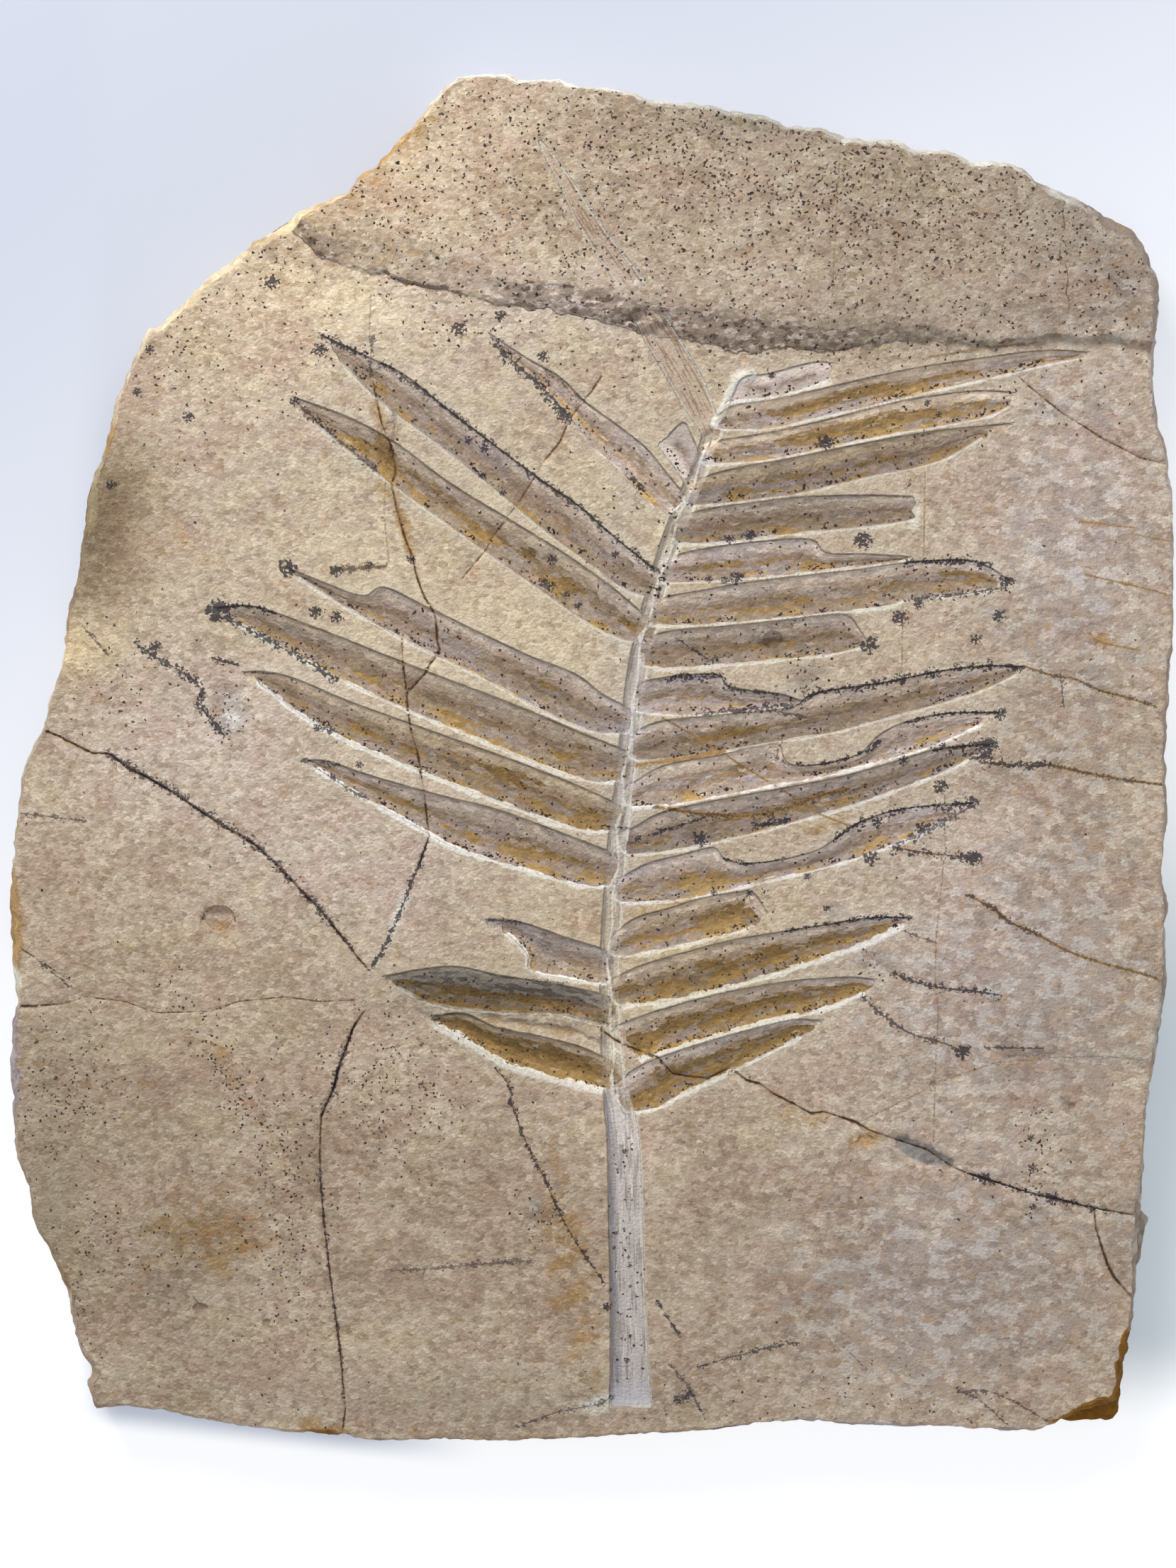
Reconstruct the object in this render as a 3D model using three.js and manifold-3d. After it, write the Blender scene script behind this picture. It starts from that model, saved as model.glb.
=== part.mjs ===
// A slab of pale limestone, split along the bedding plane that keeps the hollow print of a cycad leaf.
// Millimetres, +Z up. The slab lies on its flat back. +Y runs from the leaf's stalk towards its tip.
import * as THREE from "three";
import { mergeVertices } from "three/addons/utils/BufferGeometryUtils.js";
import Module from "manifold-3d";

// Driving dimensions
const leafFace = 15.5; // height of the bedding plane that holds the leaf
const upperFace = 18.1; // height of the layer that still stands along the top
const rimInset = 1.2; // how far the upper rim and the back are drawn in from the widest outline
const belly = 5; // height where the broken edge is widest
const shoulder = 10; // height where the edge starts to draw in again
const cornerFace = 9.5; // height of the layer laid bare at the chipped corner
const leafletDepth = 1.9; // deepest point of a leaflet's hollow
const paleDepth = 0.6; // depth of the two faint leaflets beside the bent tip
const stalkDepth = 1.5;
const tipDepth = 0.7;
const crackHalfWidth = 0.45;
const crackDepth = 1.1;
const stoneColour = 0xc2ad92;

// The widest outline of the slab, clockwise from the upper left.
const outline = [
  [-144, 120], [-140.5, 127], [-138, 133], [-134.5, 133.7], [-127, 141], [-121, 147], [-108, 157],
  [-105.5, 160], [-95, 165.5], [-90, 169], [-75.5, 175], [-73, 179], [-67, 183], [-56.5, 194],
  [-48, 204.5], [-42, 210.4], [-33, 211.5], [-27, 211.7], [-23, 209.5], [-10, 210], [-7, 208.1],
  [8, 207], [19, 203], [36, 202], [41, 200.5], [55.5, 198], [60, 195.3], [71, 194.8], [79, 191.5],
  [91, 191.2], [96, 190.5], [100, 188], [110.5, 188], [117.5, 184.3], [128.5, 184], [134, 182],
  [138, 178.5], [152, 172.5], [157, 169], [167, 163.5], [170.5, 160.5], [173, 155.5], [176, 147.5],
  [176.5, 141], [174.8, 125], [174.8, 113], [176, 104], [179, 93], [181.2, 75], [181.2, 40],
  [180.9, 33], [179.3, 29], [179.5, 17], [178.6, 8], [178.7, -8], [179, -18], [178.2, -32],
  [177, -36.5], [179, -46], [178.2, -60], [178.8, -67], [177.5, -80], [175, -95], [172.5, -110],
  [170.6, -141.5], [174.2, -144.5], [172, -153], [172, -157.5], [170.3, -160], [169.6, -170.5],
  [168.8, -178], [165.5, -198], [164.5, -205], [162, -207.8], [144, -207.8], [138, -210],
  [110, -209], [80, -207.9], [63, -206.7], [50, -208], [35, -210], [-10, -212.6], [-30, -213.3],
  [-48, -212.6], [-70, -213.3], [-77, -211.3], [-100, -209.7], [-115, -207.8], [-134, -203.5],
  [-147, -202], [-154.5, -203], [-157.3, -195], [-155.5, -192], [-160, -183], [-162, -174],
  [-163, -167], [-165.6, -161], [-168, -155], [-172, -148], [-174, -142.5], [-174.5, -137],
  [-177.3, -129], [-179.5, -122], [-180.6, -104], [-180.9, -96], [-180.3, -83], [-178.6, -77],
  [-181, -55], [-181.3, -46], [-179.2, -25], [-177.2, -7], [-174.8, 0], [-170.3, 9], [-169.5, 15],
  [-165.5, 25], [-164, 33], [-163, 45], [-160, 55], [-157, 80], [-155, 87], [-153, 91],
  [-151.5, 96], [-148.2, 110], [-146, 115],
];

// The step up to the upper layer, from left to right: x, y of its foot, y of its crest.
const scarp = [
  [-102, 168, 170], [-92, 164, 166.5], [-84, 155, 161], [-70, 150.5, 157], [-57, 146.5, 155.5],
  [-43, 143.5, 152.5], [-28, 140.2, 148], [-12, 138.5, 150], [2, 135.5, 147], [15, 132, 143.5],
  [30, 130, 141.5], [45, 125.5, 139.5], [60, 127, 137], [75, 125.5, 135.5], [88, 128, 135],
  [103, 129, 133.5], [115, 127.2, 130.5], [126, 126.2, 129], [140, 128.6, 130.2],
  [156, 128.6, 130], [170, 127.2, 128.6], [190, 125, 126.5],
];

// The front of the lower right corner has broken away along this line, down to cornerFace.
const cornerChip = [
  [170.6, -142], [170.2, -150], [169.5, -162], [168.3, -172], [166.5, -185], [164.5, -196],
  [163, -200.5], [157, -202], [150, -205], [143, -208], [143, -216], [182, -216], [182, -142],
];

// Each leaflet has an upper and a lower edge, both from the stem out to the tip.
const leaflets = [
  { upper: [[40, 106], [60, 111], [100, 120], [140, 125.3], [154.5, 125]],
    lower: [[40, 101], [55, 101.3], [85, 108], [120, 116], [150, 122.8]] },
  { upper: [[37, 97.3], [75, 104.5], [112, 112.3], [122, 113], [132, 112]],
    lower: [[36, 90], [55, 91.6], [95, 99.8], [123, 105], [130, 109]] },
  { upper: [[31, 85.3], [65, 92.8], [105, 100.3], [131, 103]],
    lower: [[32, 77.3], [45, 78.5], [85, 86], [112, 93], [122, 99]] },
  { upper: [[27, 74.5], [45, 77.8], [65, 80], [98, 80.7]],
    lower: [[28, 65.5], [40, 65.8], [80, 70.2], [100, 73]] },
  { upper: [[24, 61.5], [35, 64], [62, 67], [69, 66.5], [75, 62.7], [99, 61.5]],
    lower: [[23, 53.3], [40, 54], [80, 58], [94, 59.5]] },
  { upper: [[19.5, 48.5], [45, 53], [80, 57.3], [115, 60.5], [122, 59], [129.5, 54.2]],
    lower: [[20, 40], [40, 40.6], [80, 44.6], [112, 49.5], [124, 51.6]] },
  { upper: [[16.5, 36.5], [25, 38.5], [60, 42], [77, 43.6], [84, 38]],
    lower: [[19, 27.2], [40, 27.8], [75, 31.3], [84, 33.6]] },
  { upper: [[16.5, 23], [28, 24.7], [39, 24.6], [45, 20.6], [65, 16.8]],
    lower: [[16, 13], [28, 12.3], [40, 13], [57, 14.4]] },
  { upper: [[14.5, 8], [35, 12], [62, 15], [75, 20], [108, 26], [134.5, 27.4]],
    lower: [[16.5, -1.8], [30, -0.8], [60, 4.5], [105, 15], [130, 24]] },
  { upper: [[14, -8], [38, -0.3], [57, 3.2], [66, -2.6], [83, 0.3], [97, 10], [127.5, 13.2]],
    lower: [[15, -16.3], [40, -12.7], [75, -6], [105, 2.5], [119, 8]] },
  { upper: [[14, -22], [40, -13.9], [75, -7.2], [108, 2], [124.5, 3.3]],
    lower: [[13, -30.8], [42, -26.3], [80, -16], [108, -5.8], [119, -0.4]] },
  { upper: [[10, -37.5], [36, -29], [46, -33.5], [70, -29.5], [83, -21], [118.5, -15]],
    lower: [[11.5, -46], [25, -45.3], [60, -38], [95, -27.5], [109, -21.3]] },
  { upper: [[7.5, -54.8], [25, -47.3], [47, -42.3], [55, -49.8]],
    lower: [[10, -62.6], [20, -61], [35, -57.6], [48, -54.2]] },
  { upper: [[7.5, -69], [30, -61], [65, -54], [85, -50.7], [99, -50.6]],
    lower: [[11, -77.8], [25, -76.2], [65, -65.3], [95, -53.6]] },
  { upper: [[9, -83.5], [40, -74], [60, -70.5], [88.5, -69.7]],
    lower: [[18, -93.5], [50, -84], [70, -79.5], [83, -74.6]] },
  { upper: [[9, -101], [30, -90.8], [50, -85], [72, -82.4]],
    lower: [[12, -111], [20, -109.8], [40, -99.7], [63, -89]] },
  { upper: [[28.5, 81], [17, 95], [-2, 109.5], [-10, 117.3], [-32, 131]],
    lower: [[22, 75.5], [9, 88.5], [-7, 104.8], [-26, 123]] },
  { upper: [[18.5, 58.5], [-5, 78], [-45, 107.5], [-60, 118.4], [-84, 130.3]],
    lower: [[19, 48.5], [8, 52.6], [-14, 69], [-50, 98], [-77, 121]] },
  { upper: [[17.5, 42.5], [-10, 63.5], [-45, 85], [-70, 102], [-93, 111.2]],
    lower: [[16, 34.8], [6, 36.8], [-18, 52.5], [-58, 81], [-86, 102.5]] },
  { upper: [[11, 14.8], [-5, 25], [-40, 40.5], [-64.5, 52], [-71, 49.3], [-95.5, 58.5]],
    lower: [[9.5, 6.6], [-1, 7.6], [-35, 24.5], [-75, 45], [-89, 53.6]] },
  { upper: [[9, 2], [-25, 16], [-75, 35.3], [-106, 46.2], [-117, 45.7]],
    lower: [[8.5, -8.3], [-1, -8.1], [-40, 7], [-90, 30], [-107, 39.3]] },
  { upper: [[8.5, -15.5], [-25, -1.5], [-75, 16.5], [-101, 25.8], [-108.5, 25.7]],
    lower: [[8, -23.5], [-3, -23.4], [-45, -8.3], [-88, 11], [-101, 20]] },
  { upper: [[7, -30.5], [-30, -16.8], [-70, -6], [-89, -1.6]],
    lower: [[4.5, -41], [-6, -40.1], [-42, -29], [-70, -13.5], [-83, -6.4]] },
  { upper: [[4, -60.3], [-20, -52.5], [-28, -51], [-33.5, -51.5]],
    lower: [[3, -71.3], [-8, -69.5], [-20, -62], [-25, -56.5]] },
  { upper: [[4.5, -74.5], [-28, -68.5], [-42, -65.7], [-65, -68.8]],
    lower: [[3, -84], [-10, -80.5], [-37, -79.3], [-59, -72.6]] },
  { upper: [[6, -95], [-17, -87], [-40, -80.3], [-50.5, -81.3]],
    lower: [[7, -103], [1, -104], [-27, -96], [-47, -84.6]] },
  { upper: [[44, 112], [48, 117], [63, 120.5], [75, 121.6]],
    lower: [[44, 109.5], [52, 110.3], [73, 115.2]], depth: paleDepth },
  { upper: [[34, 92], [31, 99], [24.5, 100]],
    lower: [[29, 84], [25, 90], [20.5, 95.7]], depth: paleDepth },
];

// A leaflet's hollow from its upper to its lower edge: share across it, share of its depth.
// A steep wall drops to a shelf, a furrow runs below that, and the floor climbs to a second wall.
const leafletSection = [[-0.03, -0.3], [0.05, 0.5], [0.34, 0.55], [0.56, 1], [0.93, 0.62], [1.03, -0.3]];
const depthAlong = [0.55, 0.85, 1, 1, 1, 0.95, 0.9, 0.75, 0.45]; // share of depth from stem to tip

// Middle line and half width of the stem, from the cut end of the stalk to where the tip bends off.
const stem = [
  [12, -202, 6.5], [11.5, -185, 5.8], [10.7, -150, 5.3], [9.8, -120, 5], [8.5, -110, 4.5],
  [6.5, -98, 3.5], [5.5, -70, 3], [7, -40, 3], [9.5, -15, 3], [12.5, 12, 3], [16.5, 37, 3],
  [22, 58, 3], [30, 80, 3], [37, 99, 2.6],
];
// The bent tip climbs over the scarp: x, y, half width, height of the face around it.
const stemTip = [
  [37.5, 100, 3.2, leafFace], [31, 113, 4.2, leafFace], [23.5, 127, 4, leafFace],
  [19, 134.5, 3.9, leafFace + 0.6], [13.5, 144.5, 3.8, upperFace], [4, 157, 3.4, upperFace],
  [-8, 177, 2.2, upperFace], [-16, 190, 0.8, upperFace],
];
const stemSection = [[-1.08, -0.2], [-0.86, 0.9], [0, 0.72], [0.86, 0.95], [1.08, -0.2]];

const cracks = [
  [[-174, 9.5], [-165, 5.5], [-155, 0.5], [-144, -4], [-132, -10.5], [-110, -24], [-97, -35],
    [-85, -47.5], [-77, -57.5], [-69.5, -66.5]],
  [[-70, -67.5], [-63, -57], [-58, -45], [-50.5, -25], [-52, -12], [-56, 7], [-58.5, 27]],
  [[-57, 19.5], [-50, 28.5], [-47, 32], [-48.5, 43], [-54.5, 56], [-61.5, 80], [-61, 88], [-65, 102],
    [-68.5, 120], [-68.5, 143]],
  [[3, 117.5], [-10, 97], [-31, 67.5], [-40, 55]],
  [[-70.5, -78], [-76, -90], [-84, -112], [-84, -135], [-81, -163], [-77, -190], [-77.5, -216]],
  [[-185, -78], [-165, -77.5], [-157, -75], [-135, -80], [-110, -76.5], [-95, -75], [-73, -77]],
  [[2, -84.5], [16, -92.5], [25, -99], [36, -100.5], [43, -97], [52, -102], [68, -111.3], [86, -116.5],
    [117, -130], [145, -138], [176, -144]],
  [[156.5, -142.5], [156.5, -147], [162, -162], [172, -172]],
  [[131, 119], [146, 106], [164, 95.5], [186, 89]],
  [[145, 171], [145, 157], [146, 130]],
];

// Small broken-out hollows in the leaf's face: x, y, half length, half width.
const pits = [
  [-116, -50.5, 4.8, 4.2], [-121.5, -171.5, 2.8, 1.6], [-101, -176, 1.8, 1.4], [149, -109, 1.7, 1.4],
  [112.5, -99.8, 2.8, 1.2], [55.5, 36, 2.8, 2.6], [85, -119, 2.8, 1.4],
];
const pitDepth = 1.3;

// Flat scars where a thin flake has come off: outline and depth.
const scars = [
  { edge: [[94, -118.5], [105, -122], [109.5, -123.5], [113, -128.5], [101, -126.5], [97, -124.5]],
    depth: 1 },
  { edge: [[-58, -75.5], [-40, -74.5], [-20, -76.5], [-8, -76], [6, -84], [-8, -88.5], [-30, -84], [-44, -81]],
    depth: 0.9 },
  { edge: [[-67.5, 101], [-64.5, 86], [-60.5, 86.5], [-62.5, 102.5]], depth: 1.2 },
];

const wasm = await Module();
wasm.setup();

// A closed mesh as a solid, turned round if its faces point inwards.
function solidFrom(positions, index) {
  const build = (triVerts) =>
    new wasm.Manifold(new wasm.Mesh({ numProp: 3, vertProperties: new Float32Array(positions), triVerts }));
  const made = build(new Uint32Array(index));
  return made.volume() > 0 ? made : build(new Uint32Array(index).reverse());
}

function solidFromGeometry(geometry) {
  geometry.deleteAttribute("normal");
  geometry.deleteAttribute("uv");
  const merged = mergeVertices(geometry, 1e-4);
  return solidFrom(merged.attributes.position.array, merged.index.array);
}

// Triangles that close a ring of points, wound the way the ring runs.
function capTriangles(ring) {
  const normal = new THREE.Vector3();
  ring.forEach((p, i) => normal.add(p.clone().cross(ring[(i + 1) % ring.length])));
  const flatAxes = Math.abs(normal.z) > Math.hypot(normal.x, normal.y)
    ? ["x", "y"]
    : Math.abs(normal.x) > Math.abs(normal.y) ? ["y", "z"] : ["x", "z"];
  const flat = ring.map((p) => new THREE.Vector2(p[flatAxes[0]], p[flatAxes[1]]));
  const ringTurn = Math.sign(THREE.ShapeUtils.area(flat));
  return THREE.ShapeUtils.triangulateShape(flat, []).map(([a, b, c]) => {
    const turn = Math.sign(THREE.ShapeUtils.area([flat[a], flat[b], flat[c]]));
    return turn === ringTurn ? [a, b, c] : [a, c, b];
  });
}

// A solid through rings of equal length, closed at both ends.
function loft(rings) {
  const count = rings[0].length;
  const last = (rings.length - 1) * count;
  const index = [];
  for (let start = 0; start < last; start += count) {
    for (let i = 0; i < count; i++) {
      const a = start + i;
      const b = start + ((i + 1) % count);
      index.push(a, b, b + count, a, b + count, a + count);
    }
  }
  capTriangles(rings[0]).forEach(([a, b, c]) => index.push(a, c, b));
  capTriangles(rings.at(-1)).forEach(([a, b, c]) => index.push(last + a, last + b, last + c));
  return solidFrom(rings.flat().flatMap((p) => p.toArray()), index);
}

const flatPoints = (pairs) => pairs.map(([x, y]) => new THREE.Vector2(x, y));

// A clockwise outline drawn inwards by a small amount, as a ring at one height.
function insetRing(points, inset, height) {
  return points.map((p, i) => {
    const before = points.at(i - 1);
    const after = points[(i + 1) % points.length];
    const along = after.clone().sub(before).normalize();
    return new THREE.Vector3(p.x + along.y * inset, p.y - along.x * inset, height);
  });
}

// The whole block up to the upper layer's face, drawn in towards the rim and the back.
function block() {
  const edge = flatPoints(outline);
  return loft([
    insetRing(edge, rimInset, 0),
    insetRing(edge, 0, belly),
    insetRing(edge, 0, shoulder),
    insetRing(edge, rimInset / 3, leafFace - 0.5),
    insetRing(edge, rimInset / 2, leafFace + 0.8),
    insetRing(edge, rimInset, upperFace),
  ]);
}

// Everything above the leaf's face and below the scarp, to be cut away.
function openedLayer() {
  const reach = 300;
  const around = [[reach, -reach], [-reach, -reach], [-reach, scarp[0][1]]];
  const ring = (column, height) =>
    [...scarp.map((row) => [row[0], row[column]]), ...around].map(([x, y]) => new THREE.Vector3(x, y, height));
  return loft([ring(1, leafFace), ring(2, upperFace), ring(2, upperFace + 1)]);
}

// A flat-bottomed cutter with the given outline, from a height up past the top.
function flatCutter(pairs, height) {
  const geometry = new THREE.ExtrudeGeometry(new THREE.Shape(flatPoints(pairs)), {
    depth: upperFace + 1 - height,
    bevelEnabled: false,
  });
  return solidFromGeometry(geometry.translate(0, 0, height));
}

// The hollow of one leaflet, between its two edges.
function leafletCutter({ upper, lower, depth = leafletDepth }) {
  const upperCurve = new THREE.SplineCurve(flatPoints(upper));
  const lowerCurve = new THREE.SplineCurve(flatPoints(lower));
  const rings = depthAlong.map((share, i) => {
    const t = i / (depthAlong.length - 1);
    const from = upperCurve.getPointAt(t);
    const to = lowerCurve.getPointAt(t);
    return leafletSection.map(([across, down]) => {
      const p = from.clone().lerp(to, across);
      return new THREE.Vector3(p.x, p.y, leafFace - down * depth * share);
    });
  });
  return loft(rings);
}

// A groove along a line of [x, y, half width], with the given section and depth below the face around it.
function grooveCutter(line, section, depth, commonFace) {
  const rings = line.map(([x, y, halfWidth, face = commonFace], i) => {
    const [beforeX, beforeY] = line[Math.max(i - 1, 0)];
    const [afterX, afterY] = line[Math.min(i + 1, line.length - 1)];
    const side = new THREE.Vector2(afterY - beforeY, beforeX - afterX).normalize().multiplyScalar(halfWidth);
    return section.map(([across, down]) =>
      new THREE.Vector3(x + side.x * across, y + side.y * across, face - down * depth));
  });
  return loft(rings);
}

// A crack is a V that runs through both layers, so its mouth lies above the upper face.
function crackCutter(points) {
  const crosses = points.some(([, y]) => y > 140);
  const mouth = crosses ? upperFace + 0.5 : leafFace + 0.5;
  const floor = leafFace - crackDepth;
  const line = points.map(([x, y], i) => [x, y, i % 2 ? crackHalfWidth : crackHalfWidth * 0.7]);
  return grooveCutter(line, [[-1.4, 0], [0, 1], [1.4, 0]], mouth - floor, mouth);
}

function pitCutter([x, y, halfLength, halfWidth]) {
  const ball = new THREE.IcosahedronGeometry(1, 1);
  ball.scale(halfLength * 1.1, halfWidth * 1.1, pitDepth);
  return solidFromGeometry(ball.translate(x, y, leafFace + pitDepth * 0.2));
}

const cutters = [
  openedLayer(),
  flatCutter(cornerChip, cornerFace),
  ...scars.map(({ edge, depth }) => flatCutter(edge, leafFace - depth)),
  ...leaflets.map(leafletCutter),
  grooveCutter(stem, stemSection, stalkDepth, leafFace),
  grooveCutter(stemTip, stemSection, tipDepth, leafFace),
  ...cracks.map(crackCutter),
  ...pits.map(pitCutter),
];
const slab = cutters.reduce((solid, cutter) => solid.subtract(cutter), block());

function meshFrom(solid, name, material) {
  const { numProp, vertProperties, triVerts } = solid.getMesh();
  const geometry = new THREE.BufferGeometry();
  const positions = new Float32Array((vertProperties.length / numProp) * 3);
  for (let i = 0; i < positions.length / 3; i++) {
    positions.set(vertProperties.subarray(i * numProp, i * numProp + 3), i * 3);
  }
  geometry.setAttribute("position", new THREE.BufferAttribute(positions, 3));
  geometry.setIndex(new THREE.BufferAttribute(triVerts, 1));
  geometry.computeVertexNormals();
  const mesh = new THREE.Mesh(geometry, material);
  mesh.name = name;
  return mesh;
}

const stone = new THREE.MeshStandardMaterial({ color: stoneColour, roughness: 0.92, metalness: 0 });
const fossilSlab = meshFrom(slab, "fossil_slab", stone);

// The origin is under the middle of the slab's own box, on the back.
fossilSlab.geometry.computeBoundingBox();
const middle = fossilSlab.geometry.boundingBox.getCenter(new THREE.Vector3());
fossilSlab.geometry.translate(-middle.x, -middle.y, 0);

const group = new THREE.Group();
group.add(fossilSlab);

export default group;
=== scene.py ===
import math

import bpy
import numpy as np
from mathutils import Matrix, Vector, noise
from mathutils.geometry import delaunay_2d_cdt


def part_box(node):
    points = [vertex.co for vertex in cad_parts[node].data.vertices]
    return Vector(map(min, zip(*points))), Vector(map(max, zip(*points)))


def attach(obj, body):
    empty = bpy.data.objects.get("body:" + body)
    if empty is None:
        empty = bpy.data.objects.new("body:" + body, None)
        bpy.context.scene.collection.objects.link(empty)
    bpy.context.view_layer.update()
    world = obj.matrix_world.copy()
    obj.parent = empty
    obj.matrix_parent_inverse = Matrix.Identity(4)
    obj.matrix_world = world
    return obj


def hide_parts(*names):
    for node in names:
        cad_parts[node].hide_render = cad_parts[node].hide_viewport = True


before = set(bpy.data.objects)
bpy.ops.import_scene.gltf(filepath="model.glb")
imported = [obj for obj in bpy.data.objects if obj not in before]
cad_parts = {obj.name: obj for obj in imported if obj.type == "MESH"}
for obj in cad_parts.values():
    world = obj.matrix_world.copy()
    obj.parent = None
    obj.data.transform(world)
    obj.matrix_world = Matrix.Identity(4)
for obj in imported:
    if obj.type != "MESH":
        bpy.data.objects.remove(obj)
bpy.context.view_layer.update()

# A slab of pale limestone split open on the hollow print of a cycad leaf.
# Everything is drawn in millimetres on the slab's face, x to the right and y towards the leaf's tip,
# and becomes metres in the frame when a mesh is made.

mm = 0.001
slabName = "fossil_slab"
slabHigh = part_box(slabName)[1]
rng = np.random.default_rng(7)

slab = {
    "outline": [  # widest outline, clockwise from the upper left
        (-144, 120), (-140.5, 127), (-138, 133), (-134.5, 133.7), (-127, 141), (-121, 147), (-108, 157),
        (-105.5, 160), (-95, 165.5), (-90, 169), (-75.5, 175), (-73, 179), (-67, 183), (-56.5, 194),
        (-48, 204.5), (-42, 210.4), (-33, 211.5), (-27, 211.7), (-23, 209.5), (-10, 210), (-7, 208.1),
        (8, 207), (19, 203), (36, 202), (41, 200.5), (55.5, 198), (60, 195.3), (71, 194.8), (79, 191.5),
        (91, 191.2), (96, 190.5), (100, 188), (110.5, 188), (117.5, 184.3), (128.5, 184), (134, 182),
        (138, 178.5), (152, 172.5), (157, 169), (167, 163.5), (170.5, 160.5), (173, 155.5), (176, 147.5),
        (176.5, 141), (174.8, 125), (174.8, 113), (176, 104), (179, 93), (181.2, 75), (181.2, 40),
        (180.9, 33), (179.3, 29), (179.5, 17), (178.6, 8), (178.7, -8), (179, -18), (178.2, -32),
        (177, -36.5), (179, -46), (178.2, -60), (178.8, -67), (177.5, -80), (175, -95), (172.5, -110),
        (170.6, -141.5), (174.2, -144.5), (172, -153), (172, -157.5), (170.3, -160), (169.6, -170.5),
        (168.8, -178), (165.5, -198), (164.5, -205), (162, -207.8), (144, -207.8), (138, -210),
        (110, -209), (80, -207.9), (63, -206.7), (50, -208), (35, -210), (-10, -212.6), (-30, -213.3),
        (-48, -212.6), (-70, -213.3), (-77, -211.3), (-100, -209.7), (-115, -207.8), (-134, -203.5),
        (-147, -202), (-154.5, -203), (-157.3, -195), (-155.5, -192), (-160, -183), (-162, -174),
        (-163, -167), (-165.6, -161), (-168, -155), (-172, -148), (-174, -142.5), (-174.5, -137),
        (-177.3, -129), (-179.5, -122), (-180.6, -104), (-180.9, -96), (-180.3, -83), (-178.6, -77),
        (-181, -55), (-181.3, -46), (-179.2, -25), (-177.2, -7), (-174.8, 0), (-170.3, 9), (-169.5, 15),
        (-165.5, 25), (-164, 33), (-163, 45), (-160, 55), (-157, 80), (-155, 87), (-153, 91),
        (-151.5, 96), (-148.2, 110), (-146, 115)],
    "cornerFront": [  # where the face breaks off short of the outline, at the lower right
        (170.6, -141.5), (170.2, -150), (169.5, -162), (168.3, -172), (166.5, -185), (164.5, -196),
        (163, -200.5), (157, -202), (150, -205), (144, -207.8)],
    "leafFace": 15.5,
    "upperRise": 2.2,
    "cornerFace": 9.3,
    "step": 1.35,  # spacing round the outline
    "faceStep": 1.95,
    "backStep": 5.0,
    "plainBevel": 1.1,
    # where the rim is worn wider or stained: x, y, reach, bevel width, stain, amount. The white along the
    # edge beyond the leaf's tip is a painted highlight where that edge faces the light.
    "rims": [
        (-122, 146, 26, 2.9, "cream", 1.3), (-95, 166, 14, 2.4, "cream", 1.3),
        (-60, 190, 14, 1.3, "ochre", 0.6), (-150, 101, 9, 2.2, "ochre", 1.0),
        (-156, 78, 8, 3.8, "cream", 1.4), (-163, 45, 16, 1.3, "brown", 0.6),
        (-180, -52, 11, 3.4, "ochre", 1.5), (-181, -70, 5, 2.0, "white", 0.8),
        (-180, -98, 16, 2.6, "lilac", 1.4), (-166, -160, 20, 1.7, "ochre", 0.6),
        # white rims from x -20 to 147 along the far edge: painted highlight
        (-157, -193, 8, 2.4, "brown", 1.2), (-20, 210, 30, 1.3, "white", 1.3),
        (40, 201, 26, 1.5, "white", 1.4), (90, 191, 26, 1.8, "white", 1.2),
        (125, 184, 12, 1.6, "white", 1.0), (147, 175, 8, 3.2, "white", 1.0),
        (163, 165, 10, 3.4, "grey", 1.5), (173, 153, 9, 3.0, "grey", 1.6),
        (176, 138, 10, 2.4, "grey", 1.5), (175, 112, 14, 1.4, "grey", 1.0),
        (181, 60, 30, 1.2, "grey", 0.8), (178, -10, 30, 1.4, "grey", 0.7),
        (176, -80, 24, 1.6, "grey", 0.8), (173, -150, 14, 2.6, "grey", 1.5),
        (168, -187, 8, 2.6, "amber", 1.6), (157, -205, 12, 1.6, "amber", 2.0),
        (0, -213, 60, 0.8, "brown", 1.0), (-84, -210.5, 5, 1.2, "amber", 1.2),
        (90, -209, 40, 0.8, "lilac", 0.8)],
}

# The step up to the upper layer, from left to right: x, y of its foot, y of its crest.
scarp = {
    "line": [(-102, 168, 170), (-92, 163, 168), (-84, 155, 165), (-70, 150.5, 163), (-57, 146.5, 160.5),
             (-43, 143.5, 157), (-28, 140.2, 150.5), (-12, 138.5, 150), (2, 135.5, 147), (15, 132, 143.5),
             (30, 130, 141.5), (45, 125.5, 139.5), (60, 127, 137), (75, 125.5, 135.5), (88, 128, 135),
             (103, 129, 133.5), (115, 127.2, 130.5), (126, 126.2, 129), (140, 128.6, 130.2),
             (156, 128.6, 130), (170, 127.2, 128.6), (190, 125, 126.5)],
    # from left to right: how crumbled it is, how much painted shade lies on its slope, how much painted
    # shade lies in the crevice at its foot
    "broken": [(-102, 0.8, 0.3, 0.1), (-88, 0.8, 0.5, 0.2), (-78, 0.35, 0.5, 0.3), (-62, 0.3, 0.6, 0.8),
               (-48, 0.25, 0.5, 1.0), (-38, 0.15, 0.4, 0.6), (-28, 0.4, 0.35, 0.3), (-20, 1.0, 0.5, 0.4),
               (15, 1.0, 0.6, 0.6), (32, 1.0, 0.8, 0.3), (45, 0.9, 1.0, 0.3), (62, 0.8, 0.7, 0.3),
               (80, 0.5, 0.8, 0.4), (95, 0.4, 1.2, 0.4), (106, 0.3, 1.3, 0.3), (116, 0.3, 0.7, 0.2),
               (126, 0.5, 0.1, 0.4), (138, 0.3, 0.4, 0.2), (156, 0.15, 0.5, 0.3), (190, 0.1, 0.5, 0.5)],
    "crumbSize": 3.0,
    "crumbHeight": 1.2,
}
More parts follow.
